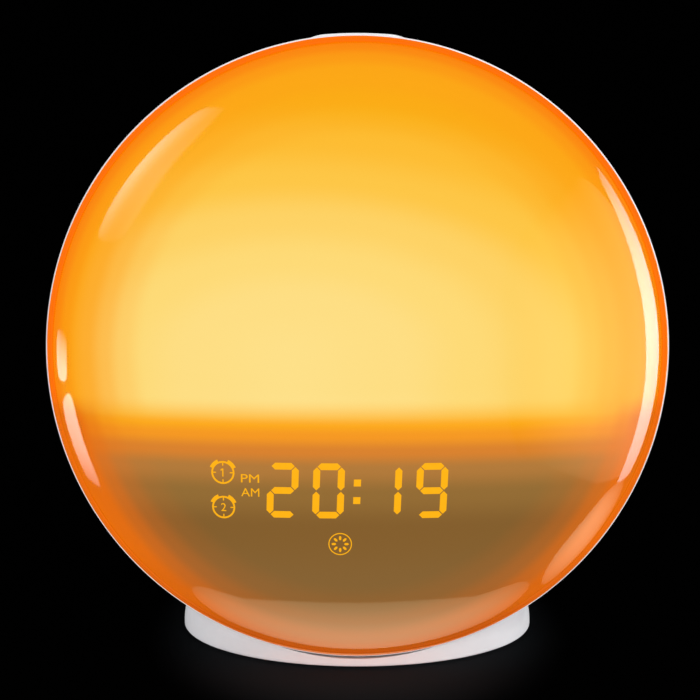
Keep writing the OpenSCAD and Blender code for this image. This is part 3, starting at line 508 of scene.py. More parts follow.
class Pattern(Enum):
    """What varies over a surface."""

    GRAIN = "grain"
    BRUSHED = "brushed"
    CELLS = "cells"
    TRACKS = "tracks"


@dataclass(frozen=True)
class Finish:
    """A moulded, metal or rubber surface: two tones, a pattern, a gloss and a relief.

    Sizes and the relief are in millimetres.
    """

    name: str
    tone: Colour
    shade: Colour
    pattern: Pattern = Pattern.GRAIN
    size: float = 1.0
    stretch: Place = (1.0, 1.0, 1.0)
    roughness: tuple[float, float] = (0.35, 0.45)
    relief: float = 0.01
    relief_strength: float = 0.6
    metallic: float = 0.0
    coat: float = 0.0
    coat_roughness: float = 0.08
    specular: float = 0.5
    glow: float = 0.0
    body: float = 1.0

    def build(self) -> Material:
        """Make the material."""
        material, wiring = blank_material(self.name)
        spot = wiring.add("ShaderNodeTexCoord").outputs["Object"]
        scale = [s / (self.size * MM) for s in self.stretch]
        place = wiring.add("ShaderNodeMapping", {"Vector": spot, "Scale": scale}).outputs[0]
        share = self._share(wiring, place)
        colour = wiring.mix(share, linear(self.shade), linear(self.tone))
        gloss = wiring.add("ShaderNodeMapRange", {
            "Value": share, "To Min": self.roughness[0], "To Max": self.roughness[1],
        }).outputs[0]
        bump = wiring.add("ShaderNodeBump", {
            "Height": share, "Distance": self.relief * MM, "Strength": self.relief_strength,
        }).outputs[0]
        wires = {
            "Base Color": wiring.dim(colour, self.body) if self.body < 1 else colour,
            "Roughness": gloss, "Normal": bump, "Metallic": self.metallic,
            "Coat Weight": self.coat, "Coat Roughness": self.coat_roughness,
            "Specular IOR Level": self.specular,
        }
        if self.glow:
            wires |= {"Emission Color": colour, "Emission Strength": self.glow}
        shader = wiring.add("ShaderNodeBsdfPrincipled", wires)
        wiring.add("ShaderNodeOutputMaterial", {0: shader.outputs[0]})
        return material

    def _share(self, wiring: Wiring, place: Socket) -> Socket:
        """Where the surface takes its lighter tone, from 0 to 1."""
        wires = {"Vector": place, "Scale": 1.0}
        if self.pattern is Pattern.CELLS:
            return wiring.add("ShaderNodeTexVoronoi", wires).outputs["Distance"]
        if self.pattern is Pattern.TRACKS:
            noise = wiring.add("ShaderNodeTexNoise", {"Vector": place, "Scale": 0.25, "Detail": 1.0})
            lanes = wiring.add("ShaderNodeTexBrick", {
                "Vector": place, "Scale": 0.5, "Mortar Size": 0.03, "Color1": (0, 0, 0, 1),
                "Color2": (0.1, 0.1, 0.1, 1), "Mortar": (1, 1, 1, 1),
            })
            return wiring.math("MULTIPLY", lanes.outputs["Fac"], noise.outputs["Fac"])
        wires["Detail"] = 2.0 if self.pattern is Pattern.BRUSHED else 4.0
        return wiring.add("ShaderNodeTexNoise", wires).outputs["Fac"]


@dataclass(frozen=True)
class LitLens:
    """Lens lit from behind: a dawn glow above the light shelf and a dim field below it.

    Stops are distances in millimetres with a colour or a share: above runs out from the lamp,
    below and rim_foot down from the middle, and the others out from the lens's axis. mirror is
    the share of light that the gloss reflects, the same at every angle.
    """

    head: HeadFrame
    shelf: float = -14.2
    blend: float = 3.7
    glow: float = 0.79
    body: float = 0.3
    mirror: float = 0.0083
    ior: float = 1.5
    roughness: float = 0.3
    gloss_roughness: float = 0.07
    grain: float = 1.6
    relief: float = 0.002
    relief_strength: float = 0.3
    lamp_x: float = -16.0
    width_share: float = 0.54
    height_share: float = 0.94
    reach: float = 85.0
    above: tuple[tuple[float, Colour], ...] = (
        (0, (255, 225, 136)), (14, (255, 223, 131)), (24, (255, 219, 118)), (34, (255, 211, 100)),
        (44, (255, 199, 68)), (54, (255, 189, 47)), (66, (252, 180, 6)),
    )
    below: tuple[tuple[float, Colour], ...] = (
        (15, (255, 182, 34)), (17, (255, 171, 22)), (20, (247, 153, 28)), (24, (219, 130, 42)),
        (28.5, (179, 122, 56)), (35, (148, 108, 50)), (44, (132, 94, 42)), (62, (135, 99, 50)),
    )
    edge_above: Colour = (255, 166, 12)
    edge_above_shares: tuple[Point, ...] = ((54, 0), (60, 0.26), (65, 0.58), (70, 0.85), (76, 1))
    rim_above: Colour = (253, 117, 0)
    rim_above_shares: tuple[Point, ...] = ((73, 0), (76.5, 0.25), (79.5, 0.62), (82.5, 1))
    rim_below: Colour = (232, 110, 3)
    rim_below_shares: tuple[Point, ...] = (
        (56, 0), (62, 0.09), (67, 0.3), (71, 0.63), (75, 0.96), (79, 1),
    )
    rim_foot: Colour = (196, 88, 4)
    rim_foot_shares: tuple[Point, ...] = ((50, 0), (64, 0.3), (78, 1))

    def build(self) -> Material:
        """Make the material."""
        material, w = blank_material("lit_lens")
        spot = w.add("ShaderNodeTexCoord").outputs["Object"]
        local = w.add("ShaderNodeMapping", {
            "Vector": spot, "Location": self.head.origin, "Rotation": (self.head.tilt, 0, 0),
            "Scale": (MM, MM, MM),
        }, vector_type="TEXTURE").outputs[0]
        axes = w.add("ShaderNodeSeparateXYZ", {0: local}).outputs
        x, y = axes["X"], axes["Y"]
        light = self._light(w, x, y)
        grain = w.add("ShaderNodeTexNoise", {
            "Vector": local, "Scale": self.grain, "Detail": 3.0,
        }).outputs["Fac"]
        bump = w.add("ShaderNodeBump", {
            "Height": grain, "Distance": self.relief * MM, "Strength": self.relief_strength,
        }).outputs[0]
        fresnel = w.add("ShaderNodeFresnel", {"IOR": self.ior, "Normal": bump}).outputs[0]
        shader = w.add("ShaderNodeBsdfPrincipled", {
            "Base Color": w.dim(light, self.body), "Roughness": self.roughness,
            "Specular IOR Level": 0.0, "Normal": bump,
            "Coat Weight": w.math("DIVIDE", self.mirror, fresnel),
            "Coat Roughness": self.gloss_roughness, "Coat Normal": bump,
            "Emission Color": light, "Emission Strength": self.glow,
        })
        w.add("ShaderNodeOutputMaterial", {0: shader.outputs[0]})
        return material

    def _light(self, w: Wiring, x: Socket, y: Socket) -> Socket:
        """The colour of the light that comes out at a point of the face."""
        down = w.math("MULTIPLY", y, -1.0)
        across = w.math("MULTIPLY", w.math("SUBTRACT", x, self.lamp_x), self.width_share)
        from_lamp = self._length(w, across, w.math("MAXIMUM", y, 0.0))
        radius = self._length(w, x, y)
        low_radius = self._length(w, x, w.math("MULTIPLY", y, self.height_share))
        high = self._ramp(w, from_lamp, self.above)
        edge_share = self._ramp(w, radius, self.edge_above_shares)
        high = w.mix(edge_share, high, linear(self.edge_above))
        rim_share = self._ramp(w, radius, self.rim_above_shares)
        high = w.mix(rim_share, high, linear(self.rim_above))
        foot_share = self._ramp(w, down, self.rim_foot_shares)
        rim = w.mix(foot_share, linear(self.rim_below), linear(self.rim_foot))
        low_share = self._ramp(w, low_radius, self.rim_below_shares)
        low = w.mix(low_share, self._ramp(w, down, self.below), rim)
        return w.mix(w.ease(y, self.shelf - self.blend, self.shelf + self.blend), low, high)

    def _length(self, w: Wiring, a: Socket, b: Socket) -> Socket:
        """The length of the pair (a, b)."""
        return w.math("SQRT", w.math("ADD", w.math("MULTIPLY", a, a), w.math("MULTIPLY", b, b)))

    def _ramp(self, w: Wiring, value: Socket, stops: Sequence[tuple]) -> Socket:
        """A smooth ramp over distances in millimetres; each stop is a colour or a share."""
        node = w.add("ShaderNodeValToRGB", {0: w.math("DIVIDE", value, self.reach)})
        ramp = node.color_ramp
        ramp.interpolation = "EASE"
        for _ in range(len(stops) - 2):
            ramp.elements.new(0.5)
        for element, (distance, paint) in zip(ramp.elements, stops):
            element.position = distance / self.reach
            element.color = linear(paint) if isinstance(paint, tuple) else (paint, paint, paint, 1.0)
        return node.outputs[0]


def metal(name: str, tone: Colour, shade: Colour, size: float, stretch: Place,
          roughness: tuple[float, float], relief: float) -> Finish:
    """A brushed metal, with its lines along the axis of the least stretch."""
    return Finish(name, tone, shade, Pattern.BRUSHED, size, stretch, roughness, relief, metallic=1.0)


def sleeve(name: str, tone: Colour, shade: Colour) -> Finish:
    """A wire's plastic sleeve."""
    return Finish(name, tone, shade, size=0.6, roughness=(0.35, 0.5), relief=0.01)


ALONG_X, ALONG_Y = (0.08, 1.0, 1.0), (1.0, 0.2, 1.0)
FINISHES = {
    "white_shell": Finish("gloss_white_shell", (236, 236, 238), (231, 231, 234), size=2.2,
                          roughness=(0.2, 0.28), relief=0.006, coat=0.1),
    "white_key": Finish("gloss_white_key", (240, 240, 242), (235, 235, 238), size=1.8,
                        roughness=(0.18, 0.24), relief=0.004, coat=0.1),
    "grey_key": Finish("satin_pale_key", (222, 222, 224), (214, 214, 217), size=0.5,
                       roughness=(0.38, 0.5), relief=0.012),
    "inner_white": Finish("reflector_white", (238, 236, 230), (230, 228, 221), size=0.8,
                          roughness=(0.5, 0.6)),
    "lamp_board": Finish("white_board", (236, 234, 224), (222, 220, 208), Pattern.TRACKS, size=1.2,
                         relief=0.03),
    "led": Finish("diode", (255, 226, 140), (255, 205, 96), size=0.8, roughness=(0.3, 0.4), glow=0.7,
                  body=0.3),
    "circuit_board": Finish("green_board", (74, 122, 76), (16, 74, 40), Pattern.TRACKS,
                            roughness=(0.3, 0.42), relief=0.03),
    "black_plastic": Finish("moulded_black", (34, 34, 36), (24, 24, 26), size=0.35,
                            roughness=(0.42, 0.56), relief=0.015),
    "display_window": Finish("amber_mark", (255, 184, 14), (255, 174, 5), size=1.4,
                             roughness=(0.4, 0.5), relief=0.004, specular=0.1, glow=0.85, body=0.15),
    "steel": metal("plated_steel", (186, 187, 190), (158, 160, 164), 0.6, ALONG_X, (0.24, 0.38), 0.006),
    "dark_steel": metal("dark_plated_steel", (94, 95, 98), (70, 71, 74), 0.6, (1.0, 0.1, 1.0),
                        (0.3, 0.42), 0.008),
    "screw_steel": metal("screw_steel", (196, 196, 198), (168, 168, 171), 0.4, ALONG_Y,
                         (0.22, 0.36), 0.006),
    "contact_brass": metal("contact_brass", (222, 184, 108), (198, 156, 82), 0.4, ALONG_Y,
                           (0.2, 0.32), 0.004),
    "foam": Finish("closed_cell_foam", (66, 66, 68), (40, 40, 42), Pattern.CELLS, size=0.4,
                   roughness=(0.8, 0.95), relief=0.1),
    "rubber": Finish("matt_rubber", (62, 62, 64), (46, 46, 48), size=0.5, roughness=(0.62, 0.8),
                     relief=0.02),
    "cone_paper": Finish("coated_paper", (40, 40, 42), (24, 24, 25), size=0.6, stretch=(1.0, 1.0, 0.3),
                         roughness=(0.55, 0.75), relief=0.03),
    "ribbon": Finish("flat_cable", (224, 224, 220), (188, 188, 186), Pattern.BRUSHED,
                     stretch=(1.0, 0.02, 0.02), relief=0.05),
    "wire_red": sleeve("red_wire", (184, 30, 24), (158, 20, 16)),
    "wire_black": sleeve("black_wire", (32, 32, 34), (20, 20, 22)),
    "wire_grey": sleeve("grey_wire", (128, 128, 131), (108, 108, 112)),
}


# ---------- the workshop ----------


class Side(Enum):
    """A side of the clock, as its X sign."""

    LEFT = -1
    RIGHT = 1


@dataclass
class Shop:
    """What every sub-assembly is made with: the head's frame, the trees and the materials."""

    head: HeadFrame
    lathe: Lathe = field(default_factory=Lathe)
    stamper: Stamper = field(default_factory=Stamper)
    holes: HoleField = field(default_factory=HoleField)
    materials: dict[str, Material] = field(default_factory=dict)

    def deliver(
        self, piece: Piece, slot: str, body: str, *replaced: str, place: bool = True
    ) -> Piece:
        """Put a finished piece into the row.

        Args:
            piece: the piece, in the head's millimetres where place is set.
            slot: the record's material slot, which also names the finish.
            body: the body that the piece moves with.
            replaced: the solids that the piece stands for.
            place: whether the piece still has to be moved out of the head's frame.

        Returns:
            The same piece.
        """
        if place:
            piece.data.transform(self.head.matrix)
        piece.data.materials.clear()
        piece.data.materials.append(self.materials[slot])
        piece.data.update()
        if replaced:
            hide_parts(*replaced)
        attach(piece, body)
        LOG.info("%s: %d faces on %s", piece.name, len(piece.data.polygons), body)
        return piece


# ---------- lens and display ----------


@dataclass
class Lens:
    """Lit front lens: a shell on two tangent arcs over a flange and a skirt."""

    shop: Shop
    flange_r: float
    flange_w: float = 1.6
    flange_h: float = 1.6
    depth: float = 38.0
    edge_r: float = 22.0
    wall: float = 2.0
    skirt_r: float = 79.55
    skirt_t: float = 1.6
    skirt_h: float = 3.5
    groove_r: float = 82.6
    groove_w: float = 0.24
    groove_h: float = 0.35
    groove_taper: float = 0.6
    corner: float = 0.3
    skirt_chamfer: float = 0.3
    back_chamfer: float = 0.1
    toe: Point = (0.22, 0.1)
    toe_h: float = 0.3
    turn_steps: int = 288

    @property
    def dome_r(self) -> float:
        """Radius of the dome at its foot."""
        return self.flange_r - self.flange_w

    @property
    def crown_r(self) -> float:
        """Radius of the large arc over the face."""
        flat = self.dome_r - self.edge_r
        return (flat ** 2 + self.depth ** 2 - self.edge_r ** 2) / (2 * (self.depth - self.edge_r))

    @property
    def meet(self) -> float:
        """Angle in degrees at which the two arcs meet."""
        return math.degrees(math.atan2(self.crown_r - self.depth, self.dome_r - self.edge_r))

    def height(self, x: float, y: float) -> float:
        """Height of the crown over a point of the face."""
        return self.depth - self.crown_r + math.sqrt(self.crown_r ** 2 - x * x - y * y)

    def outline(self) -> Outline:
        """Inner wall from the pole out, then skirt, flange and outer dome back to the pole."""
        flat, middle = (self.dome_r - self.edge_r, 0.0), (0.0, self.depth - self.crown_r)
        hole = self.skirt_r - self.skirt_t
        inner = self.edge_r - self.wall
        start = math.degrees(math.acos((hole - flat[0]) / inner))
        foot = math.degrees(math.asin(self.flange_h / self.edge_r))
        line = Outline(0.0, self.depth - self.wall)
        line.arc(middle, self.crown_r - self.wall, 90.0, self.meet, steps=14)
        line.arc(flat, inner, self.meet, start, steps=10)
        cut, end = self.skirt_chamfer, -self.skirt_h
        line.to((hole, 0.0), (hole, end + cut), (hole + cut, end))
        line.to((self.skirt_r - cut, end), (self.skirt_r, end + cut), (self.skirt_r, 0.0))
        line.to((self.flange_r - self.back_chamfer, 0.0), (self.flange_r, self.back_chamfer))
        round_at = (self.flange_r - self.corner, self.flange_h - self.corner)
        line.arc(round_at, self.corner, 0.0, 90.0, steps=4)
        low, half = self.flange_h - self.groove_h, self.groove_w / 2
        taper = half * self.groove_taper
        line.to((self.groove_r + half, self.flange_h), (self.groove_r + taper, low))
        line.to((self.groove_r - taper, low), (self.groove_r - half, self.flange_h))
        toe, sunk = flat[0] + self.edge_r * math.cos(math.radians(foot)), self.flange_h - self.toe_h
        line.to((toe + self.toe[0], self.flange_h), (toe + self.toe[1], sunk), (toe, sunk))
        line.arc(flat, self.edge_r, foot, self.meet, steps=30)
        return line.arc(middle, self.crown_r, self.meet, 90.0, steps=40)

    def build(self) -> Piece:
        """Make the lens and return it."""
        piece = self.shop.lathe.turn("lens_moulding", self.outline(), steps=self.turn_steps)
        smooth(piece.data)
        return self.shop.deliver(piece, "lens", "root", "front_lens")


@dataclass
class Display:
    """Lit marks that show in the lens: time, colon, alarm symbols, half-day words and a sun.

    Places are in the head's frame, and those with dy in their name count from middle_y. LIT names
    each digit's lit segments, from a at the top clockwise to f, with g in the middle.
    """

    shop: Shop
    lens: Lens
    time: str = "20:19"
    middle_y: float = -34.2
    cell_xs: tuple[float, ...] = (-18.8, -7.2, 7.2, 18.8)
    digit_h: float = 14.4
    digit_w: float = 7.95
    stroke: float = 1.75
    gap: float = 0.35
    slant: float = 2.0
    bar_cells: int = 5
    colon_w: float = 1.8
    colon_dys: Point = (2.15, -2.45)
    bell_x: float = -34.0
    bell_dys: Point = (4.3, -4.85)
    bell_r: float = 3.0
    number_h: float = 2.1
    ear_w: float = 0.66
    ear_sink: float = 0.04
    ear_turns: Point = (45.0, 135.0)
    ear_half: float = 22.0
    flag: Point = (0.8, 0.36)
    flag_at: Point = (-0.28, 0.78)
    flag_turn: float = 40.0
    tick: Point = (0.85, 0.3)
    tick_in: float = 0.85
    word_x: float = -27.05
    word_dys: Point = (2.95, -0.7)
    word_h: float = 2.15
    word_w: float = 4.65
    sun: Point = (-4.3, -14.1)
    sun_r: float = 3.0
    petal_at: float = 1.62
    petal: Point = (1.25, 0.6)
    petals: int = 8
    ring_step: float = 7.5
    line: float = 0.46
    thin_line: float = 0.26
    top: float = 0.1
    bottom: float = 0.02

    LIT = {
        "0": "abcdef", "1": "bc", "2": "abged", "3": "abgcd", "4": "fgbc",
        "5": "afgcd", "6": "afgedc", "7": "abc", "8": "abcdefg", "9": "abcdfg",
    }

    def bar(self, length: float, width: float, cells: int = 1) -> Piece:
        """A pointed bar along X, in a few cells where it has to bend."""
        half, t = length / 2, width / 2
        xs = [-half + t + (length - width) * k / cells for k in range(cells + 1)]
        points = [(-half, 0, 0), *[(x, y, 0) for x in xs for y in (-t, t)], (half, 0, 0)]
        end = len(points) - 1
        faces = [(0, 1, 2), (end - 2, end, end - 1)]
        faces += [(1 + 2 * k, 3 + 2 * k, 4 + 2 * k, 2 + 2 * k) for k in range(cells)]
        return new_object("bar", mesh_of(points, faces))

    def ring(
        self, centre: Point, radius: float, width: float, start: float = 0, sweep: float = 360
    ) -> Piece:
        """A flat ring or a piece of one."""
        steps = max(6, round(sweep / self.ring_step))
        points, faces = [], []
        for k in range(steps + 1):
            a = math.radians(start + sweep * k / steps)
            for r in (radius - width / 2, radius + width / 2):
                points.append((centre[0] + r * math.cos(a), centre[1] + r * math.sin(a), 0))
        for k in range(steps):
            faces.append((2 * k, 2 * k + 1, 2 * k + 3, 2 * k + 2))
        piece = new_object("ring", mesh_of(points, faces))
        if sweep == 360:
            weld(piece.data)
        return piece

    def word(self, letters: str, height: float, centre: Point, width: float = 0.0) -> Piece:
        """Plain letters as a flat mesh, centred on a point, at their own width where none is given."""
        text = bpy.data.curves.new(letters, "FONT")
        text.body = letters
        carrier = bpy.data.objects.new("word", text)
        bpy.context.scene.collection.objects.link(carrier)
        depsgraph = bpy.context.evaluated_depsgraph_get()
        mesh = bpy.data.meshes.new_from_object(carrier.evaluated_get(depsgraph))
        bpy.data.objects.remove(carrier)
        spots = np.array([v.co for v in mesh.vertices])
        low, high = spots.min(0), spots.max(0)
        tall = height / (high[1] - low[1])
        wide = width / (high[0] - low[0]) if width else tall
        shift = Matrix.Translation((centre[0], centre[1], 0)) @ Matrix.Diagonal((wide, tall, 1, 1))
        middle = (low + high) / 2
        mesh.transform(shift @ Matrix.Translation((-middle[0], -middle[1], 0)))
        return new_object("word", mesh)

    def digits(self) -> Piece:
        """The time's lit segments and the colon."""
        rise = (self.digit_h - self.stroke) / 2
        side = (self.digit_w - self.stroke) / 2
        levels = {"a": rise, "g": 0, "d": -rise}
        uprights = {"f": (-side, rise / 2), "b": (side, rise / 2),
                    "e": (-side, -rise / 2), "c": (side, -rise / 2)}
        flat, upright = [], []
        for x, digit in zip(self.cell_xs, self.time.replace(":", "")):
            for name in self.LIT[digit]:
                if name in levels:
                    flat.append((x, levels[name], 0))
                else:
                    dx, dy = uprights[name]
                    upright.append((x + dx, dy, 90))
        level = self.bar(2 * side - self.gap, self.stroke, self.bar_cells)
        post = self.bar(rise - self.gap, self.stroke, self.bar_cells)
        half = self.colon_w / 2
        corners = [(-half, -half, 0), (half, -half, 0), (half, half, 0), (-half, half, 0)]
        square = new_object("square", mesh_of(corners, [(0, 1, 2, 3)]))
        stamp = self.shop.stamper.stamp
        parts = [stamp("level", level, flat), stamp("post", post, upright),
                 stamp("colon", square, [(0, dy, 0) for dy in self.colon_dys])]
        whole = joined("display_digits", parts)
        shear = math.tan(math.radians(self.slant))
        for vertex in whole.data.vertices:
            vertex.co.x += vertex.co.y * shear
        return whole

    def bell(self, dy: float, number: str) -> list[Piece]:
        """A round alarm clock with two bells, four hour marks and a number."""
        x, r = self.bell_x, self.bell_r
        face = self.ring((x, dy), r - self.line / 2, self.line)
        parts = [face, self.word(number, self.number_h, (x, dy))]
        ear_r = r + self.ear_w / 2 - self.ear_sink
        for turn in self.ear_turns:
            ear = self.ring((x, dy), ear_r, self.ear_w, turn - self.ear_half, 2 * self.ear_half)
            parts.append(ear)
        if number == "1":
            flag = self.bar(*self.flag)
            tilt = Matrix.Rotation(math.radians(self.flag_turn), 4, "Z")
            spot = (x + self.flag_at[0], dy + self.flag_at[1], 0)
            flag.data.transform(Matrix.Translation(spot) @ tilt)
            parts.append(flag)
        ticks = self.spokes((x, dy), r - self.tick_in, 4)
        parts.append(self.shop.stamper.stamp("ticks", self.bar(*self.tick), ticks))
        return parts

    def spokes(self, centre: Point, radius: float, count: int) -> list[Place]:
        """Places round a centre, each turned outwards."""
        turns = [360 * k / count for k in range(count)]
        return [(centre[0] + radius * math.cos(math.radians(a)),
                 centre[1] + radius * math.sin(math.radians(a)), a) for a in turns]

    def symbols(self) -> Piece:
        """Everything but the time."""
        parts = self.bell(self.bell_dys[0], "1") + self.bell(self.bell_dys[1], "2")
        for letters, dy in zip(("PM", "AM"), self.word_dys):
            parts.append(self.word(letters, self.word_h, (self.word_x, dy), self.word_w))
        parts.append(self.ring(self.sun, self.sun_r - self.thin_line / 2, self.thin_line))
        petals = self.spokes(self.sun, self.petal_at, self.petals)
        parts.append(self.shop.stamper.stamp("petals", self.bar(*self.petal, cells=2), petals))
        return joined("display_symbols", parts)

    def film(self, mesh: bpy.types.Mesh) -> None:
        """Lay flat marks on the lens as a thin closed film."""
        work = bmesh.new()
        work.from_mesh(mesh)
        bmesh.ops.remove_doubles(work, verts=work.verts, dist=TOUCHING)
        bmesh.ops.triangulate(work, faces=work.faces)
        lifted = bmesh.ops.extrude_face_region(work, geom=work.faces[:])
        upper = {g for g in lifted["geom"] if isinstance(g, bmesh.types.BMVert)}
        for vertex in work.verts:
            x, y = vertex.co.x, vertex.co.y + self.middle_y
            vertex.co = (x, y, self.lens.height(x, y) + (self.top if vertex in upper else self.bottom))
        bmesh.ops.recalc_face_normals(work, faces=work.faces)
        work.to_mesh(mesh)
        work.free()

    def build(self) -> None:
        """Make the marks."""
        for piece in (self.digits(), self.symbols()):
            self.film(piece.data)
            self.shop.deliver(piece, "display_window", "root")


# ---------- housing, keys and buttons ----------


@dataclass
class Housing:
    """White rear housing: a turned shell with a lip, key openings, a grille and screw wells."""

    shop: Shop
    rim_r: float
    depth: float = 42.0
    lip: float = 1.9
    lip_h: float = 2.5
    slope: float = 2.0
    wall: float = 2.4
    round_r: float = 36.0
    corner: float = 0.45
    key_gap: float = 0.3
    mouth_chamfer: float = 0.2
    overrun: float = 1.0
    hole_d: float = 1.8
    hole_chamfer: float = 0.18
    hole_overrun: float = 0.6
    hole_pitch: float = 3.4
    field_r: float = 15.6
    field_slip: float = 0.01
    field_y: float = 21.0
    post: Point = (34.0, 27.0)
    post_r: float = 4.5
    post_end: float = -11.9
    well_r: float = 2.9
    well_end: float = -13.9
    well_chamfer: float = 0.25
    screw_hole_r: float = 1.6
    inlet: Point = (14.0, -36.0)
    inlet_hole_r: float = 3.95
    inlet_chamfer: float = 0.2
    seat_r: float = 20.0
    seat_w: float = 2.2
    seat_h: float = 2.4
    turn_steps: int = 288
    rod_steps: tuple[int, int] = (24, 48)
    fine_r: float = 2.0

    @property
    def body_r(self) -> float:
        """Radius behind the lip."""
        return self.rim_r - self.lip

    @property
    def flat_r(self) -> float:
        """Radius of the flat back."""
        return self.body_r - self.round_r

    @property
    def band(self) -> float:
        """Depth of the straight band behind the rim."""
        return self.depth - self.round_r

    @property
    def post_spots(self) -> list[Place]:
        """Places of the four screw posts."""
        return [(sx * self.post[0], sy * self.post[1], 0.0) for sx in (-1, 1) for sy in (-1, 1)]

    def outer_at(self, s: float) -> float:
        """Outer radius at a depth behind the rim."""
        return self.flat_r + math.sqrt(self.round_r ** 2 - max(s - self.band, 0) ** 2)

    def inner_at(self, s: float) -> float:
        """Inner radius at a depth behind the rim."""
        return self.flat_r + math.sqrt((self.round_r - self.wall) ** 2 - max(s - self.band, 0) ** 2)

    def outline(self) -> Outline:
        """Outer form from the back pole to the rim, then the inner wall back to the pole."""
        hub = (self.flat_r, -self.band)
        line = Outline(0.0, -self.depth).to((self.flat_r / 2, -self.depth))
        line.arc(hub, self.round_r, -90.0, 0.0, steps=30)
        line.to((self.body_r, -self.lip_h - self.slope), (self.rim_r, -self.lip_h))
        line.arc((self.rim_r - self.corner, -self.corner), self.corner, 0.0, 90.0, steps=4)
        inner, cut = self.body_r - self.wall, self.mouth_chamfer
        line.to((inner + cut, 0.0), (inner, -cut), (inner, -self.band))
        line.arc(hub, self.round_r - self.wall, 0.0, -90.0, steps=16)
        return line.to((0.0, -self.depth + self.wall))

    def room(self, grow: float, ahead: float) -> Outline:
        """Outline of the whole head, grown, with its lip run ahead of the rim."""
        hub = (self.flat_r, -self.band)
        line = Outline(0.0, -self.depth - grow)
        line.arc(hub, self.round_r + grow, -90.0, 0.0, steps=40)
        body, rim = self.body_r + grow, self.rim_r + grow
        line.to((body, -self.lip_h - self.slope - grow), (rim, -self.lip_h - grow))
        return line.to((rim, ahead), (0.0, ahead))

    def rod(self, name: str, radius: float, low: float, high: float, chamfer: float = 0.0) -> Piece:
        """A round tool along Z, wider at its low end where it has a chamfer for the back."""
        line, back = Outline(0.0, low), -self.depth
        if chamfer:
            wide = radius + self.overrun + chamfer
            line.to((wide, low), (radius + chamfer, back), (radius, back + chamfer))
        else:
            line.to((radius, low))
        line.to((radius, high), (0.0, high))
        fine, coarse = self.rod_steps
        return self.shop.lathe.turn(name, line, steps=fine if radius < self.fine_r else coarse)

    def inner_posts(self) -> Piece:
        """Screw posts and the speaker's seat, which are moulded with the shell."""
        low = -self.depth + self.wall / 2
        posts = self.rod("post", self.post_r, low, self.post_end)
        seat = Outline(self.seat_r - self.seat_w, low).to((self.seat_r, low))
        top = -self.depth + self.wall + self.seat_h
        seat.to((self.seat_r, top)).bored(self.seat_r - self.seat_w, top)
        ring = self.shop.lathe.turn("seat", seat, steps=72)
        stamp = self.shop.stamper.stamp
        seats = stamp("seats", ring, [(0, self.field_y, 0)])
        return joined("inner_posts", [stamp("posts", posts, self.post_spots), seats])

    def openings(self, controls: "Controls") -> Piece:
        """Every hole of the housing as one tool."""
        stamp, over = self.shop.stamper.stamp, self.overrun
        low, inside = -self.depth - over, -self.depth + self.wall
        well = self.rod("well", self.well_r, low, self.well_end, self.well_chamfer)
        shank = self.rod("shank", self.screw_hole_r, self.well_end - over, self.post_end + over)
        inlet = self.rod("inlet", self.inlet_hole_r, low, inside + over, self.inlet_chamfer)
        tools = [
            stamp("wells", well, self.post_spots),
            stamp("shanks", shank, self.post_spots),
            stamp("inlets", inlet, [(*self.inlet, 0.0)]),
        ]
        hole = self.rod("hole", self.hole_d / 2, low, inside + self.hole_overrun, self.hole_chamfer)
        rows = 2 * math.ceil(self.field_r / (self.hole_pitch * HoleField.ROW_SHARE)) + 1
        grille = self.shop.holes.grow("grille", mesh_of([(0, 0, 0)]), Stamp=hole, Rows=rows,
                                      Pitch=self.hole_pitch, Field_radius=self.field_r + self.field_slip)
        bpy.data.objects.remove(hole)
        grille.data.transform(Matrix.Translation((0, self.field_y, 0)))
        return joined("openings", [*tools, grille, *controls.openings()])

    def build(self, controls: "Controls") -> None:
        """Make the housing."""
        piece = self.shop.lathe.turn("housing_moulding", self.outline(), steps=self.turn_steps)
        posts = self.inner_posts()
        tools = self.openings(controls)
        keeper = NormalKeeper()
        keeper.remember(piece)
        keeper.remember(posts)
        keeper.remember(tools, -1.0)
        carve(piece, posts, Cut.JOIN)
        carve(piece, tools, Cut.TAKE)
        keeper.dress(piece.data)
        for tool in (posts, tools):
            bpy.data.objects.remove(tool)
        self.shop.deliver(piece, "white_shell", "root", "rear_housing")


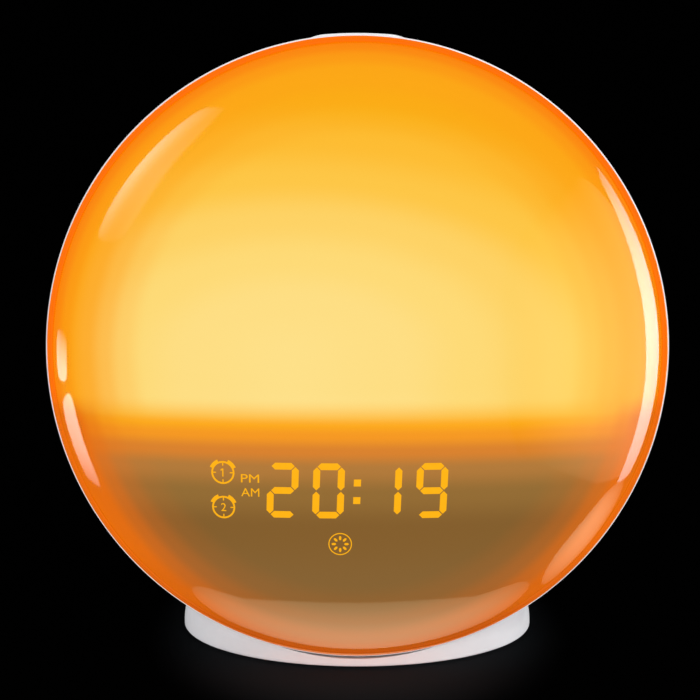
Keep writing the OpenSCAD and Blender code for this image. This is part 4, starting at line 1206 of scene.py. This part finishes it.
@dataclass
class Controls:
    """Snooze key on top and a row of round buttons on each side.

    The insets of snooze_steps count from the rounded edge's end, and crown_shares are shares of a
    button's flat radius. button_tool and snooze_tool_top bound the tools of the openings.
    """

    shop: Shop
    housing: Housing
    buttons: int = 5
    button_d: float = 8.6
    button_pitch: float = 13.5
    button_proud: float = 1.2
    button_z: float = -15.0
    flange: float = 1.1
    flange_t: float = 1.0
    stem_r: float = 1.5
    stem_tip: float = 61.6
    seat_slip: float = 0.15
    stem_chamfer: float = 0.3
    edge: float = 0.7
    edge_rings: int = 6
    crown_shares: tuple[float, ...] = (0.75, 0.5, 0.25, 0.06)
    button_tool: Point = (66.0, 90.0)
    snooze_l: float = 31.2
    snooze_w: float = 14.0
    snooze_z: float = -14.5
    snooze_front: float = 7.5
    snooze_proud: float = 3.3
    snooze_crown: float = 115.0
    snooze_edge: float = 0.6
    snooze_edge_rings: int = 8
    snooze_steps: tuple[float, ...] = (1.2, 2.6, 4.2, 5.6, 6.36)
    snooze_tool_top: float = 88.0
    snooze_lip: float = 1.0
    snooze_flange_top: float = 73.37
    snooze_flange_t: float = 1.2
    snooze_stem_r: float = 2.5
    snooze_stem_l: float = 3.0
    corners: int = 48
    straight_cells: int = 8

    def seat(self, y: float) -> float:
        """How far out a button's flange seats inside the wall."""
        deep = -self.button_z + self.button_d / 2 + self.flange
        reach = abs(y) + self.button_d / 2 + self.flange
        return math.sqrt(self.housing.inner_at(deep) ** 2 - reach ** 2) - self.seat_slip

    def round_ring(self, radius: float, x: float, y: float) -> np.ndarray:
        """A ring round a right-hand button's axis at one X."""
        angles = np.linspace(0, 2 * math.pi, self.corners, endpoint=False)
        return np.stack([np.full(self.corners, x), y + radius * np.cos(angles),
                         self.button_z + radius * np.sin(angles)], 1)

    def crown_ring(self, radius: float, y: float, drop: float) -> np.ndarray:
        """A ring of a right-hand button's crown, which follows the housing's form."""
        ring = self.round_ring(radius, 0.0, y)
        for p in ring:
            form = self.housing.outer_at(-p[2]) + self.button_proud
            p[0] = math.sqrt(form ** 2 - p[1] ** 2) - drop
        return ring

    def button_rings(self, y: float) -> list[np.ndarray]:
        """Rings of a right-hand button, from its stem's tip out to its crown."""
        r, seat, cut = self.button_d / 2, self.seat(y), self.stem_chamfer
        wide, under = r + self.flange, seat - self.flange_t
        profile = [(self.stem_r - cut, self.stem_tip), (self.stem_r, self.stem_tip + cut),
                   (self.stem_r, under), (wide, under), (wide, seat), (r, seat)]
        rings = [self.round_ring(radius, x, y) for radius, x in profile]
        for k in range(self.edge_rings):
            a = math.pi / 2 * k / (self.edge_rings - 1)
            inset, drop = self.edge * (1 - math.cos(a)), self.edge * (1 - math.sin(a))
            rings.append(self.crown_ring(r - inset, y, drop))
        flat = r - self.edge
        return rings + [self.crown_ring(flat * share, y, 0.0) for share in self.crown_shares]

    def places(self) -> list[tuple[Side, int, float]]:
        """Each button's side, number and height along the side."""
        middle = (self.buttons + 1) / 2
        return [(side, number, (number - middle) * self.button_pitch)
                for side in Side for number in range(1, self.buttons + 1)]

    def on_side(self, side: Side, rings: list[np.ndarray]) -> bpy.types.Mesh:
        """A mesh over rings that were made for the right-hand side."""
        mesh = skin(rings)
        if side is Side.LEFT:
            mirror(mesh)
        return mesh

    def button(self, side: Side, number: int, y: float) -> None:
        """Make one button."""
        mesh = self.on_side(side, self.button_rings(y))
        word = side.name.lower()
        piece = new_object(f"{word}_button_{number}_cap", mesh)
        smooth(mesh)
        self.shop.deliver(piece, "grey_key", f"{word}_{number}", f"{word}_button_{number}")

    def pill(self, length: float, width: float, y: float) -> np.ndarray:
        """A level pill ring at a height, counter-clockwise when seen from above."""
        half = (length - width) / 2
        bend = np.linspace(-math.pi / 2, math.pi / 2, self.corners // 2)
        run = np.linspace(half, -half, self.straight_cells + 1)[1:-1]
        xs = np.concatenate([half + width / 2 * np.cos(bend), run])
        zs = np.concatenate([width / 2 * np.sin(bend), np.full(len(run), width / 2)])
        xs, zs = np.concatenate([xs, -xs]), np.concatenate([zs, -zs])
        return np.stack([xs, np.full(len(xs), y), self.snooze_z - zs], 1)

    def snooze_top(self, x: float, z: float) -> float:
        """Height of the snooze key's crown: an arc across that falls towards the back."""
        front, back = (self.housing.outer_at(self.snooze_front + k * self.snooze_w) for k in (0, 1))
        fall = (front - back) / self.snooze_w
        crown = self.snooze_crown - math.sqrt(self.snooze_crown ** 2 - x * x)
        return front + self.snooze_proud - crown + (z + self.snooze_front) * fall

    def snooze_rings(self) -> list[np.ndarray]:
        """Rings of the snooze key, from its stem's tip up to its crown."""
        top, t = self.snooze_flange_top, self.snooze_flange_t
        length, width = self.snooze_l, self.snooze_w
        tip = top - t - self.snooze_stem_l
        stem, lip = 2 * self.snooze_stem_r, 2 * self.snooze_lip
        point = stem - 2 * self.stem_chamfer
        wide = (length + lip, width + lip)
        rings = [self.pill(point, point, tip), self.pill(stem, stem, tip + self.stem_chamfer)]
        rings += [self.pill(stem, stem, top - t), self.pill(*wide, top - t)]
        rings += [self.pill(*wide, top), self.pill(length, width, top)]
        edge = self.snooze_edge
        steps = [(edge * (1 - math.cos(a)), edge * (1 - math.sin(a)))
                 for a in np.linspace(0, math.pi / 2, self.snooze_edge_rings)]
        steps += [(edge + k, 0.0) for k in self.snooze_steps]
        for inset, drop in steps:
            ring = self.pill(length - 2 * inset, width - 2 * inset, 0.0)
            for p in ring:
                p[1] = self.snooze_top(p[0], p[2]) - drop
            rings.append(ring)
        return rings

    def openings(self) -> list[Piece]:
        """The keys' holes as tools."""
        gap, flange = self.housing.key_gap, self.snooze_flange_top - self.snooze_flange_t
        length, width = self.snooze_l + 2 * gap, self.snooze_w + 2 * gap
        rings = [self.pill(length, width, y) for y in (flange, self.snooze_tool_top)]
        tools = [new_object("snooze_hole", skin(rings))]
        radius = self.button_d / 2 + gap
        for side, _, y in self.places():
            rings = [self.round_ring(radius, x, y) for x in self.button_tool]
            tools.append(new_object("button_hole", self.on_side(side, rings)))
        return tools

    def build(self) -> None:
        """Make the snooze key and the buttons."""
        snooze = new_object("snooze_key_cap", skin(self.snooze_rings()))
        weld(snooze.data)
        smooth(snooze.data)
        self.shop.deliver(snooze, "white_key", "snooze", "snooze_key")
        for place in self.places():
            self.button(*place)


# ---------- base ----------


@dataclass
class Base:
    """Oval base: a shell whose cradle carries the head, on four rubber feet.

    foot_edge holds a foot's lower edge as distances from its radius and heights. pocket_low and
    cradle_ahead are how far the tools run out of the shell.
    """

    shop: Shop
    housing: Housing
    middle: Vector
    length: float
    width: float
    floor: float = 0.8
    height: float = 17.0
    edge: float = 1.0
    side_r: float = 24.0
    top_edge: float = 0.6
    cradle_gap: float = 0.5
    plate_inset: float = 3.0
    plate_t: float = 2.0
    plate_front: float = -5.0
    slip: float = 0.15
    foot_d: float = 11.0
    foot_h: float = 1.4
    foot_edge: tuple[Point, ...] = ((-0.5, 0.0), (-0.15, 0.12), (0.0, 0.4))
    foot_places: tuple[Point, ...] = ((-24, -20), (24, -20), (-26, 17), (26, 17))
    pocket_low: float = -1.0
    cradle_ahead: float = 60.0
    corners: int = 192
    edge_rings: int = 8
    side_rings: int = 12
    top_rings: int = 5
    cradle_steps: int = 360

    def ring(self, inset: float, z: float, front: float | None = None) -> np.ndarray:
        """An oval ring at a height, cut straight at its front where a limit is given."""
        ring = []
        for k in range(self.corners):
            a = 2 * math.pi * k / self.corners
            x, y = (self.length / 2 - inset) * math.cos(a), (self.width / 2 - inset) * math.sin(a)
            ring.append((x, y if front is None else max(y, front), z))
        return np.array(ring) + np.array([self.middle.x, self.middle.y, 0.0])

    def side_inset(self, z: float) -> float:
        """How far the side leans in at a height."""
        return self.side_r - math.sqrt(self.side_r ** 2 - (z - self.floor - self.edge) ** 2)

    def rings(self) -> list[np.ndarray]:
        """Rings of the uncut shell, from its underside up to its deck."""
        edge, top = self.edge, self.top_edge
        rings = [self.ring(edge, self.floor)]
        for a in np.linspace(0, math.pi / 2, self.edge_rings)[1:]:
            rings.append(self.ring(edge * (1 - math.sin(a)), self.floor + edge * (1 - math.cos(a))))
        low, high = self.floor + edge, self.height - top
        for z in np.linspace(low, high, self.side_rings)[1:]:
            rings.append(self.ring(self.side_inset(z), z))
        last = self.side_inset(high)
        for a in np.linspace(0, math.pi / 2, self.top_rings)[1:]:
            rings.append(self.ring(last + top * (1 - math.cos(a)), high + top * math.sin(a)))
        return rings

    def shell(self) -> None:
        """Make the shell with its cradle and the plate's pocket."""
        piece = new_object("base_moulding", skin(self.rings()))
        room = self.housing.room(self.cradle_gap, self.cradle_ahead)
        cradle = self.shop.lathe.turn("cradle", room, steps=self.cradle_steps)
        to_table = Matrix.Diagonal((1 / MM, 1 / MM, 1 / MM, 1)) @ self.shop.head.matrix
        cradle.data.transform(to_table)
        front = self.plate_front - self.slip
        ends = (self.pocket_low, self.floor + self.plate_t)
        pocket_rings = [self.ring(self.plate_inset - self.slip, z, front) for z in ends]
        pocket = new_object("pocket", skin(pocket_rings))
        keeper = NormalKeeper()
        keeper.remember(piece)
        for tool in (cradle, pocket):
            keeper.remember(tool, -1.0)
            carve(piece, tool, Cut.TAKE)
        keeper.dress(piece.data)
        for tool in (cradle, pocket):
            bpy.data.objects.remove(tool)
        piece.data.transform(Matrix.Scale(MM, 4))
        self.shop.deliver(piece, "white_shell", "root", "base_shell", place=False)

    def feet(self) -> None:
        """Make the four feet."""
        r, h = self.foot_d / 2, self.foot_h
        line = Outline(0.0, 0.0).to(*[(r + dx, z) for dx, z in self.foot_edge], (r, h), (0.0, h))
        foot = self.shop.lathe.turn("foot", line, steps=64)
        spots = [(x + self.middle.x, y + self.middle.y, 0.0) for x, y in self.foot_places]
        piece = self.shop.stamper.stamp("foot_pads_moulding", foot, spots)
        smooth(piece.data)
        piece.data.transform(Matrix.Scale(MM, 4))
        self.shop.deliver(piece, "rubber", "root", "foot_pads", place=False)

    def build(self) -> None:
        """Make the base."""
        self.shell()
        self.feet()


# ---------- studio ----------


@dataclass
class Panel:
    """A light card that only the lens reflects, with its light fading towards its edges.

    Attributes:
        edges: the light's shares at the -X and at the +X edge.
        fades: the light's losses from the peak to the upper and to the lower end.
        peak: the brightest height, from -1 to 1.
        flanks: the light's loss from the middle to both sides.
        lean: how far the top is shifted along X, and slant how far each end is tilted.
        squareness: 2 for an oval, and more towards a rectangle.
    """

    name: str
    centre: Vector
    facing: Vector
    width: float
    height: float
    strength: float
    tint: Colour = (255, 250, 240)
    edges: tuple[float, float] = (1.0, 1.0)
    fades: tuple[float, float] = (0.0, 0.0)
    peak: float = 0.0
    flanks: float = 0.0
    lean: float = 0.0
    slant: float = 0.0
    squareness: float = 6.0
    fade_power: float = 1.5
    flank_power: float = 2.0
    corners: int = 96

    def outline(self) -> list[Place]:
        """The card's edge: a squarish oval that may lean at its top and slant at both ends."""
        points = []
        for k in range(self.corners):
            a = math.tau * k / self.corners
            c, s = math.cos(a), math.sin(a)
            u = math.copysign(abs(c) ** (2 / self.squareness), c)
            v = math.copysign(abs(s) ** (2 / self.squareness), s)
            x = self.width / 2 * u + self.lean * max(v, 0) ** 2
            points.append((x, self.height / 2 * v + self.slant * u, 0))
        return points

    def build(self, mirrors: bpy.types.Collection) -> None:
        """Make the card.

        Args:
            mirrors: the pieces that reflect the card.
        """
        card = new_object(self.name, mesh_of(self.outline(), [range(self.corners)]))
        card.location = self.centre
        card.rotation_euler = self.facing.to_track_quat("Z", "Y").to_euler()
        card.visible_camera = False
        card.visible_diffuse = False
        card.visible_shadow = False
        card.light_linking.receiver_collection = mirrors
        card.data.materials.append(self.material())

    def material(self) -> Material:
        """Light that leaves the card's front only."""
        material, w = blank_material(self.name)
        spot = w.add("ShaderNodeTexCoord").outputs["Object"]
        axes = w.add("ShaderNodeSeparateXYZ", {0: spot}).outputs
        first, last = (edge * self.strength for edge in self.edges)
        across = w.ease(axes["X"], -self.width / 2, self.width / 2, first, last)
        along = w.math("SUBTRACT", w.math("MULTIPLY", axes["Y"], 2 / self.height), self.peak)
        share = w.math("SUBTRACT", 1.0, self._fade(w, along, 1 - self.peak, self.fades[0]))
        share = w.math("SUBTRACT", share, self._fade(w, along, -1 - self.peak, self.fades[1]))
        aside = w.math("ABSOLUTE", w.math("MULTIPLY", axes["X"], 2 / self.width))
        loss = w.math("MULTIPLY", w.math("POWER", aside, self.flank_power), self.flanks)
        share = w.math("MULTIPLY", share, w.math("SUBTRACT", 1.0, loss))
        power = w.math("MULTIPLY", across, w.math("MAXIMUM", share, 0.0))
        w.close_one_sided(w.add("ShaderNodeEmission", {"Color": linear(self.tint), "Strength": power}))
        return material

    def _fade(self, w: Wiring, along: Socket, end: float, loss: float) -> Socket:
        """The light that is lost between the peak and one end."""
        way = w.math("MAXIMUM", w.math("DIVIDE", along, end), 0.0)
        return w.math("MULTIPLY", w.math("POWER", way, self.fade_power), loss)


@dataclass(frozen=True)
class Lamp:
    """A wide soft lamp: degrees to the right of the viewer's side and above the level, and watts."""

    name: str
    azimuth: float
    elevation: float
    power: float


@dataclass
class Studio:
    """Dark backdrop and table, soft light and the camera.

    The table shows a painted sheen, a painted reflection of the lit base, round sheen_y that
    fades out between sheen_from and sheen_to. The camera stands distance from the head, whose
    middle falls on head_px of a view frame_px wide.
    """

    head: HeadFrame
    lamps: tuple[Lamp, ...] = (Lamp("key", 34.0, 38.0, 6.0), Lamp("low_front", -4.0, 4.0, 6.0))
    floor_tone: Colour = (222, 222, 224)
    table_dark: Colour = (1, 1, 1)
    # painted sheen: the lighter tone painted round the base, a painted reflection of the lit base
    painted_sheen: Colour = (34, 36, 38)
    sheen_from: float = 0.026
    sheen_to: float = 0.062
    sheen_y: float = 0.0128
    sheen_squash: float = 0.75
    floor_r: float = 25.0
    world: float = 0.66
    lamp_distance: float = 1.3
    lamp_size: float = 1.0
    softbox_turn: Point = (-72.0, 41.0)
    softbox_away: float = 0.62
    softbox_aside: float = 0.072
    neutral: Colour = (255, 252, 250)
    mellow: Colour = (255, 240, 197)
    distance: float = 0.4783
    elevation: float = 12.03
    focal_px: float = 1775.6
    frame_px: float = 700.0
    head_px: Point = (357.26, 348.25)
    sensor: float = 36.0

    def direction(self, azimuth: float, elevation: float) -> Vector:
        """Direction out from the clock; azimuth 0 is towards the viewer and grows to the right."""
        a, e = math.radians(azimuth), math.radians(elevation)
        return Vector((math.sin(a) * math.cos(e), -math.cos(a) * math.cos(e), math.sin(e)))

    def camera(self) -> None:
        """Aim the camera so that the head's middle falls on its place in the view."""
        data = bpy.data.cameras.new("camera")
        data.sensor_width = self.sensor
        data.lens = self.focal_px * self.sensor / self.frame_px
        camera = bpy.data.objects.new("camera", data)
        bpy.context.scene.collection.objects.link(camera)
        back = self.direction(0.0, self.elevation)
        right = Vector((1, 0, 0))
        up = back.cross(right)
        middle = self.frame_px / 2
        dx = (self.head_px[0] - middle) / self.focal_px
        dy = (middle - self.head_px[1]) / self.focal_px
        look = -back - right * dx - up * dy
        camera.location = self.head.origin + back * self.distance
        camera.rotation_mode = "QUATERNION"
        camera.rotation_quaternion = look.to_track_quat("-Z", "Y")
        bpy.context.scene.camera = camera

    def floor(self) -> None:
        """Lay the table: pale to the light, dark to the viewer but for a painted sheen round the base.
        """
        r = self.floor_r
        corners = [(-r, -r, 0), (r, -r, 0), (r, r, 0), (-r, r, 0)]
        floor = new_object("floor", mesh_of(corners, [(0, 1, 2, 3)]))
        material, w = blank_material("table")
        spot = w.add("ShaderNodeTexCoord").outputs["Object"]
        near = w.add("ShaderNodeMapping", {
            "Vector": spot, "Location": (0, self.sheen_y, 0), "Scale": (1, 1 / self.sheen_squash, 1),
        }, vector_type="TEXTURE").outputs[0]
        away = w.add("ShaderNodeVectorMath", {0: near}, operation="LENGTH").outputs["Value"]
        share = w.ease(away, self.sheen_from, self.sheen_to)
        # painted sheen: a lighter tone round the base stands in for the base's light reflected on the
        # dark table
        dark = w.mix(share, linear(self.painted_sheen), linear(self.table_dark))
        path = w.add("ShaderNodeLightPath").outputs
        seen = w.mix(path["Is Camera Ray"], linear(self.floor_tone), dark)
        w.close_one_sided(w.add("ShaderNodeBsdfDiffuse", {"Color": seen}))
        floor.data.materials.append(material)

    def hang(self, lamp: Lamp, others: bpy.types.Collection) -> None:
        """Hang a lamp that is aimed at the head.

        Args:
            lamp: where the lamp hangs, and its power.
            others: the lens, marked to stay out of this light.
        """
        data = bpy.data.lights.new(lamp.name, "AREA")
        data.shape = "DISK"
        data.size = self.lamp_size
        data.energy = lamp.power
        aim = self.direction(lamp.azimuth, lamp.elevation)
        light = bpy.data.objects.new(lamp.name, data)
        light.location = self.head.origin + aim * self.lamp_distance
        light.rotation_euler = aim.to_track_quat("Z", "Y").to_euler()
        light.light_linking.receiver_collection = others
        bpy.context.scene.collection.objects.link(light)

    def reflections(self, mirrors: bpy.types.Collection) -> None:
        """Stand the cards whose reflections show in the gloss of the lens.

        Args:
            mirrors: the pieces that reflect the cards.
        """
        out = self.direction(*self.softbox_turn)
        sideways = Vector((0, 0, 1)).cross(-out).normalized()
        left, right, up = Vector((1, 0, 0)), Vector((-1, 0, 0)), Vector((0, 0, 1))
        heart = self.head.origin
        table = Vector((heart.x, heart.y, 0.0))
        spot = heart + out * self.softbox_away + sideways * self.softbox_aside
        cards = [
            Panel("left_softbox", spot, -out, width=0.285, height=0.41, strength=36.0,
                  edges=(0.25, 1), fades=(0.75, 0.75)),
            Panel("right_strip", heart + Vector((0.155, 0.033, 0.004)), right, width=0.074,
                  height=0.186, strength=80.0, tint=self.neutral, fades=(0.8, 0.6), lean=-0.045,
                  squareness=5.0),
            Panel("right_wall", heart + Vector((0.165, -0.09, 0.015)), right, width=0.25,
                  height=0.24, strength=22.0, tint=self.mellow, edges=(1, 0), fades=(0.95, 0.9),
                  peak=-0.2, squareness=3.0),
            Panel("left_high_strip", heart + Vector((-0.15, 0.03, -0.012)), left, width=0.056,
                  height=0.026, strength=60.0, fades=(0.9, 0), peak=-0.6, slant=-0.004,
                  squareness=4.0),
            Panel("left_low_strip", heart + Vector((-0.15, 0.026, -0.064)), left, width=0.07,
                  height=0.062, strength=55.0, fades=(0, 0.95), peak=0.9, slant=-0.011,
                  squareness=4.0),
            Panel("table_glow", table + Vector((0.002, -0.022, 0.0006)), up, width=0.124,
                  height=0.054, strength=26.0, tint=self.mellow, fades=(0.7, 0.75), peak=0.1,
                  flanks=0.8, squareness=2.2),
            Panel("table_side", table + Vector((0.11, 0.012, 0.0004)), up, width=0.09,
                  height=0.09, strength=26.0, tint=self.mellow, fades=(0.4, 0.85), peak=0.4,
                  flanks=0.7, squareness=2.2),
        ]
        for card in cards:
            card.build(mirrors)

    def sky(self) -> None:
        """Set an even light all round that the viewer sees as a dark backdrop."""
        world = bpy.data.worlds.new("studio")
        world.use_nodes = True
        world.node_tree.nodes.clear()
        w = Wiring(world.node_tree)
        path = w.add("ShaderNodeLightPath").outputs
        even = w.add("ShaderNodeBackground", {"Color": (1, 1, 1, 1), "Strength": self.world})
        dark = w.add("ShaderNodeBackground", {"Color": linear(self.table_dark), "Strength": 1.0})
        ends = {0: path["Is Camera Ray"], 1: even.outputs[0], 2: dark.outputs[0]}
        seen = w.add("ShaderNodeMixShader", ends)
        w.add("ShaderNodeOutputWorld", {0: seen.outputs[0]})
        bpy.context.scene.world = world

    def build(self, lens: Piece) -> None:
        """Set up the studio.

        Args:
            lens: the one piece that reflects the cards and stays out of the lamps' light.
        """
        bpy.context.scene.view_settings.view_transform = "Standard"
        mirrors = bpy.data.collections.new("mirrors")
        mirrors.objects.link(lens)
        others = bpy.data.collections.new("out_of_the_lamps")
        others.objects.link(lens)
        others.collection_objects[0].light_linking.link_state = "EXCLUDE"
        self.camera()
        self.floor()
        for lamp in self.lamps:
            self.hang(lamp, others)
        self.reflections(mirrors)
        self.sky()


# ---------- the clock ----------


def extent(node: str, axis: int) -> float:
    """A solid's extent along an axis of the row, in millimetres."""
    low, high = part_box(node)
    return (high[axis] - low[axis]) / MM


def dress_solids(shop: Shop) -> None:
    """Give every solid that still shows the finish of its slot."""
    for part in frame["record"]["subparts"]:
        solid = frame["nodes"][part["node"]]
        slot = part["material_slot"]
        solid.data.materials.clear()
        solid.data.materials.append(shop.materials[slot])


def main() -> None:
    """Build the clock."""
    logging.basicConfig(level=logging.INFO, format="%(message)s")
    head = HeadFrame.measured(frame["record"])
    shop = Shop(head)
    shop.materials = {slot: finish.build() for slot, finish in FINISHES.items()}
    shop.materials["lens"] = LitLens(head).build()
    lens = Lens(shop, flange_r=extent("front_lens", 0) / 2)
    Studio(head).build(lens.build())
    Display(shop, lens).build()
    housing = Housing(shop, rim_r=extent("rear_housing", 0) / 2)
    controls = Controls(shop, housing)
    housing.build(controls)
    controls.build()
    low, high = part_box("base_shell")
    middle = (low + high) / 2 / MM
    Base(shop, housing, middle, extent("base_shell", 0), extent("base_shell", 1)).build()
    dress_solids(shop)


if __name__ == "__main__":
    main()
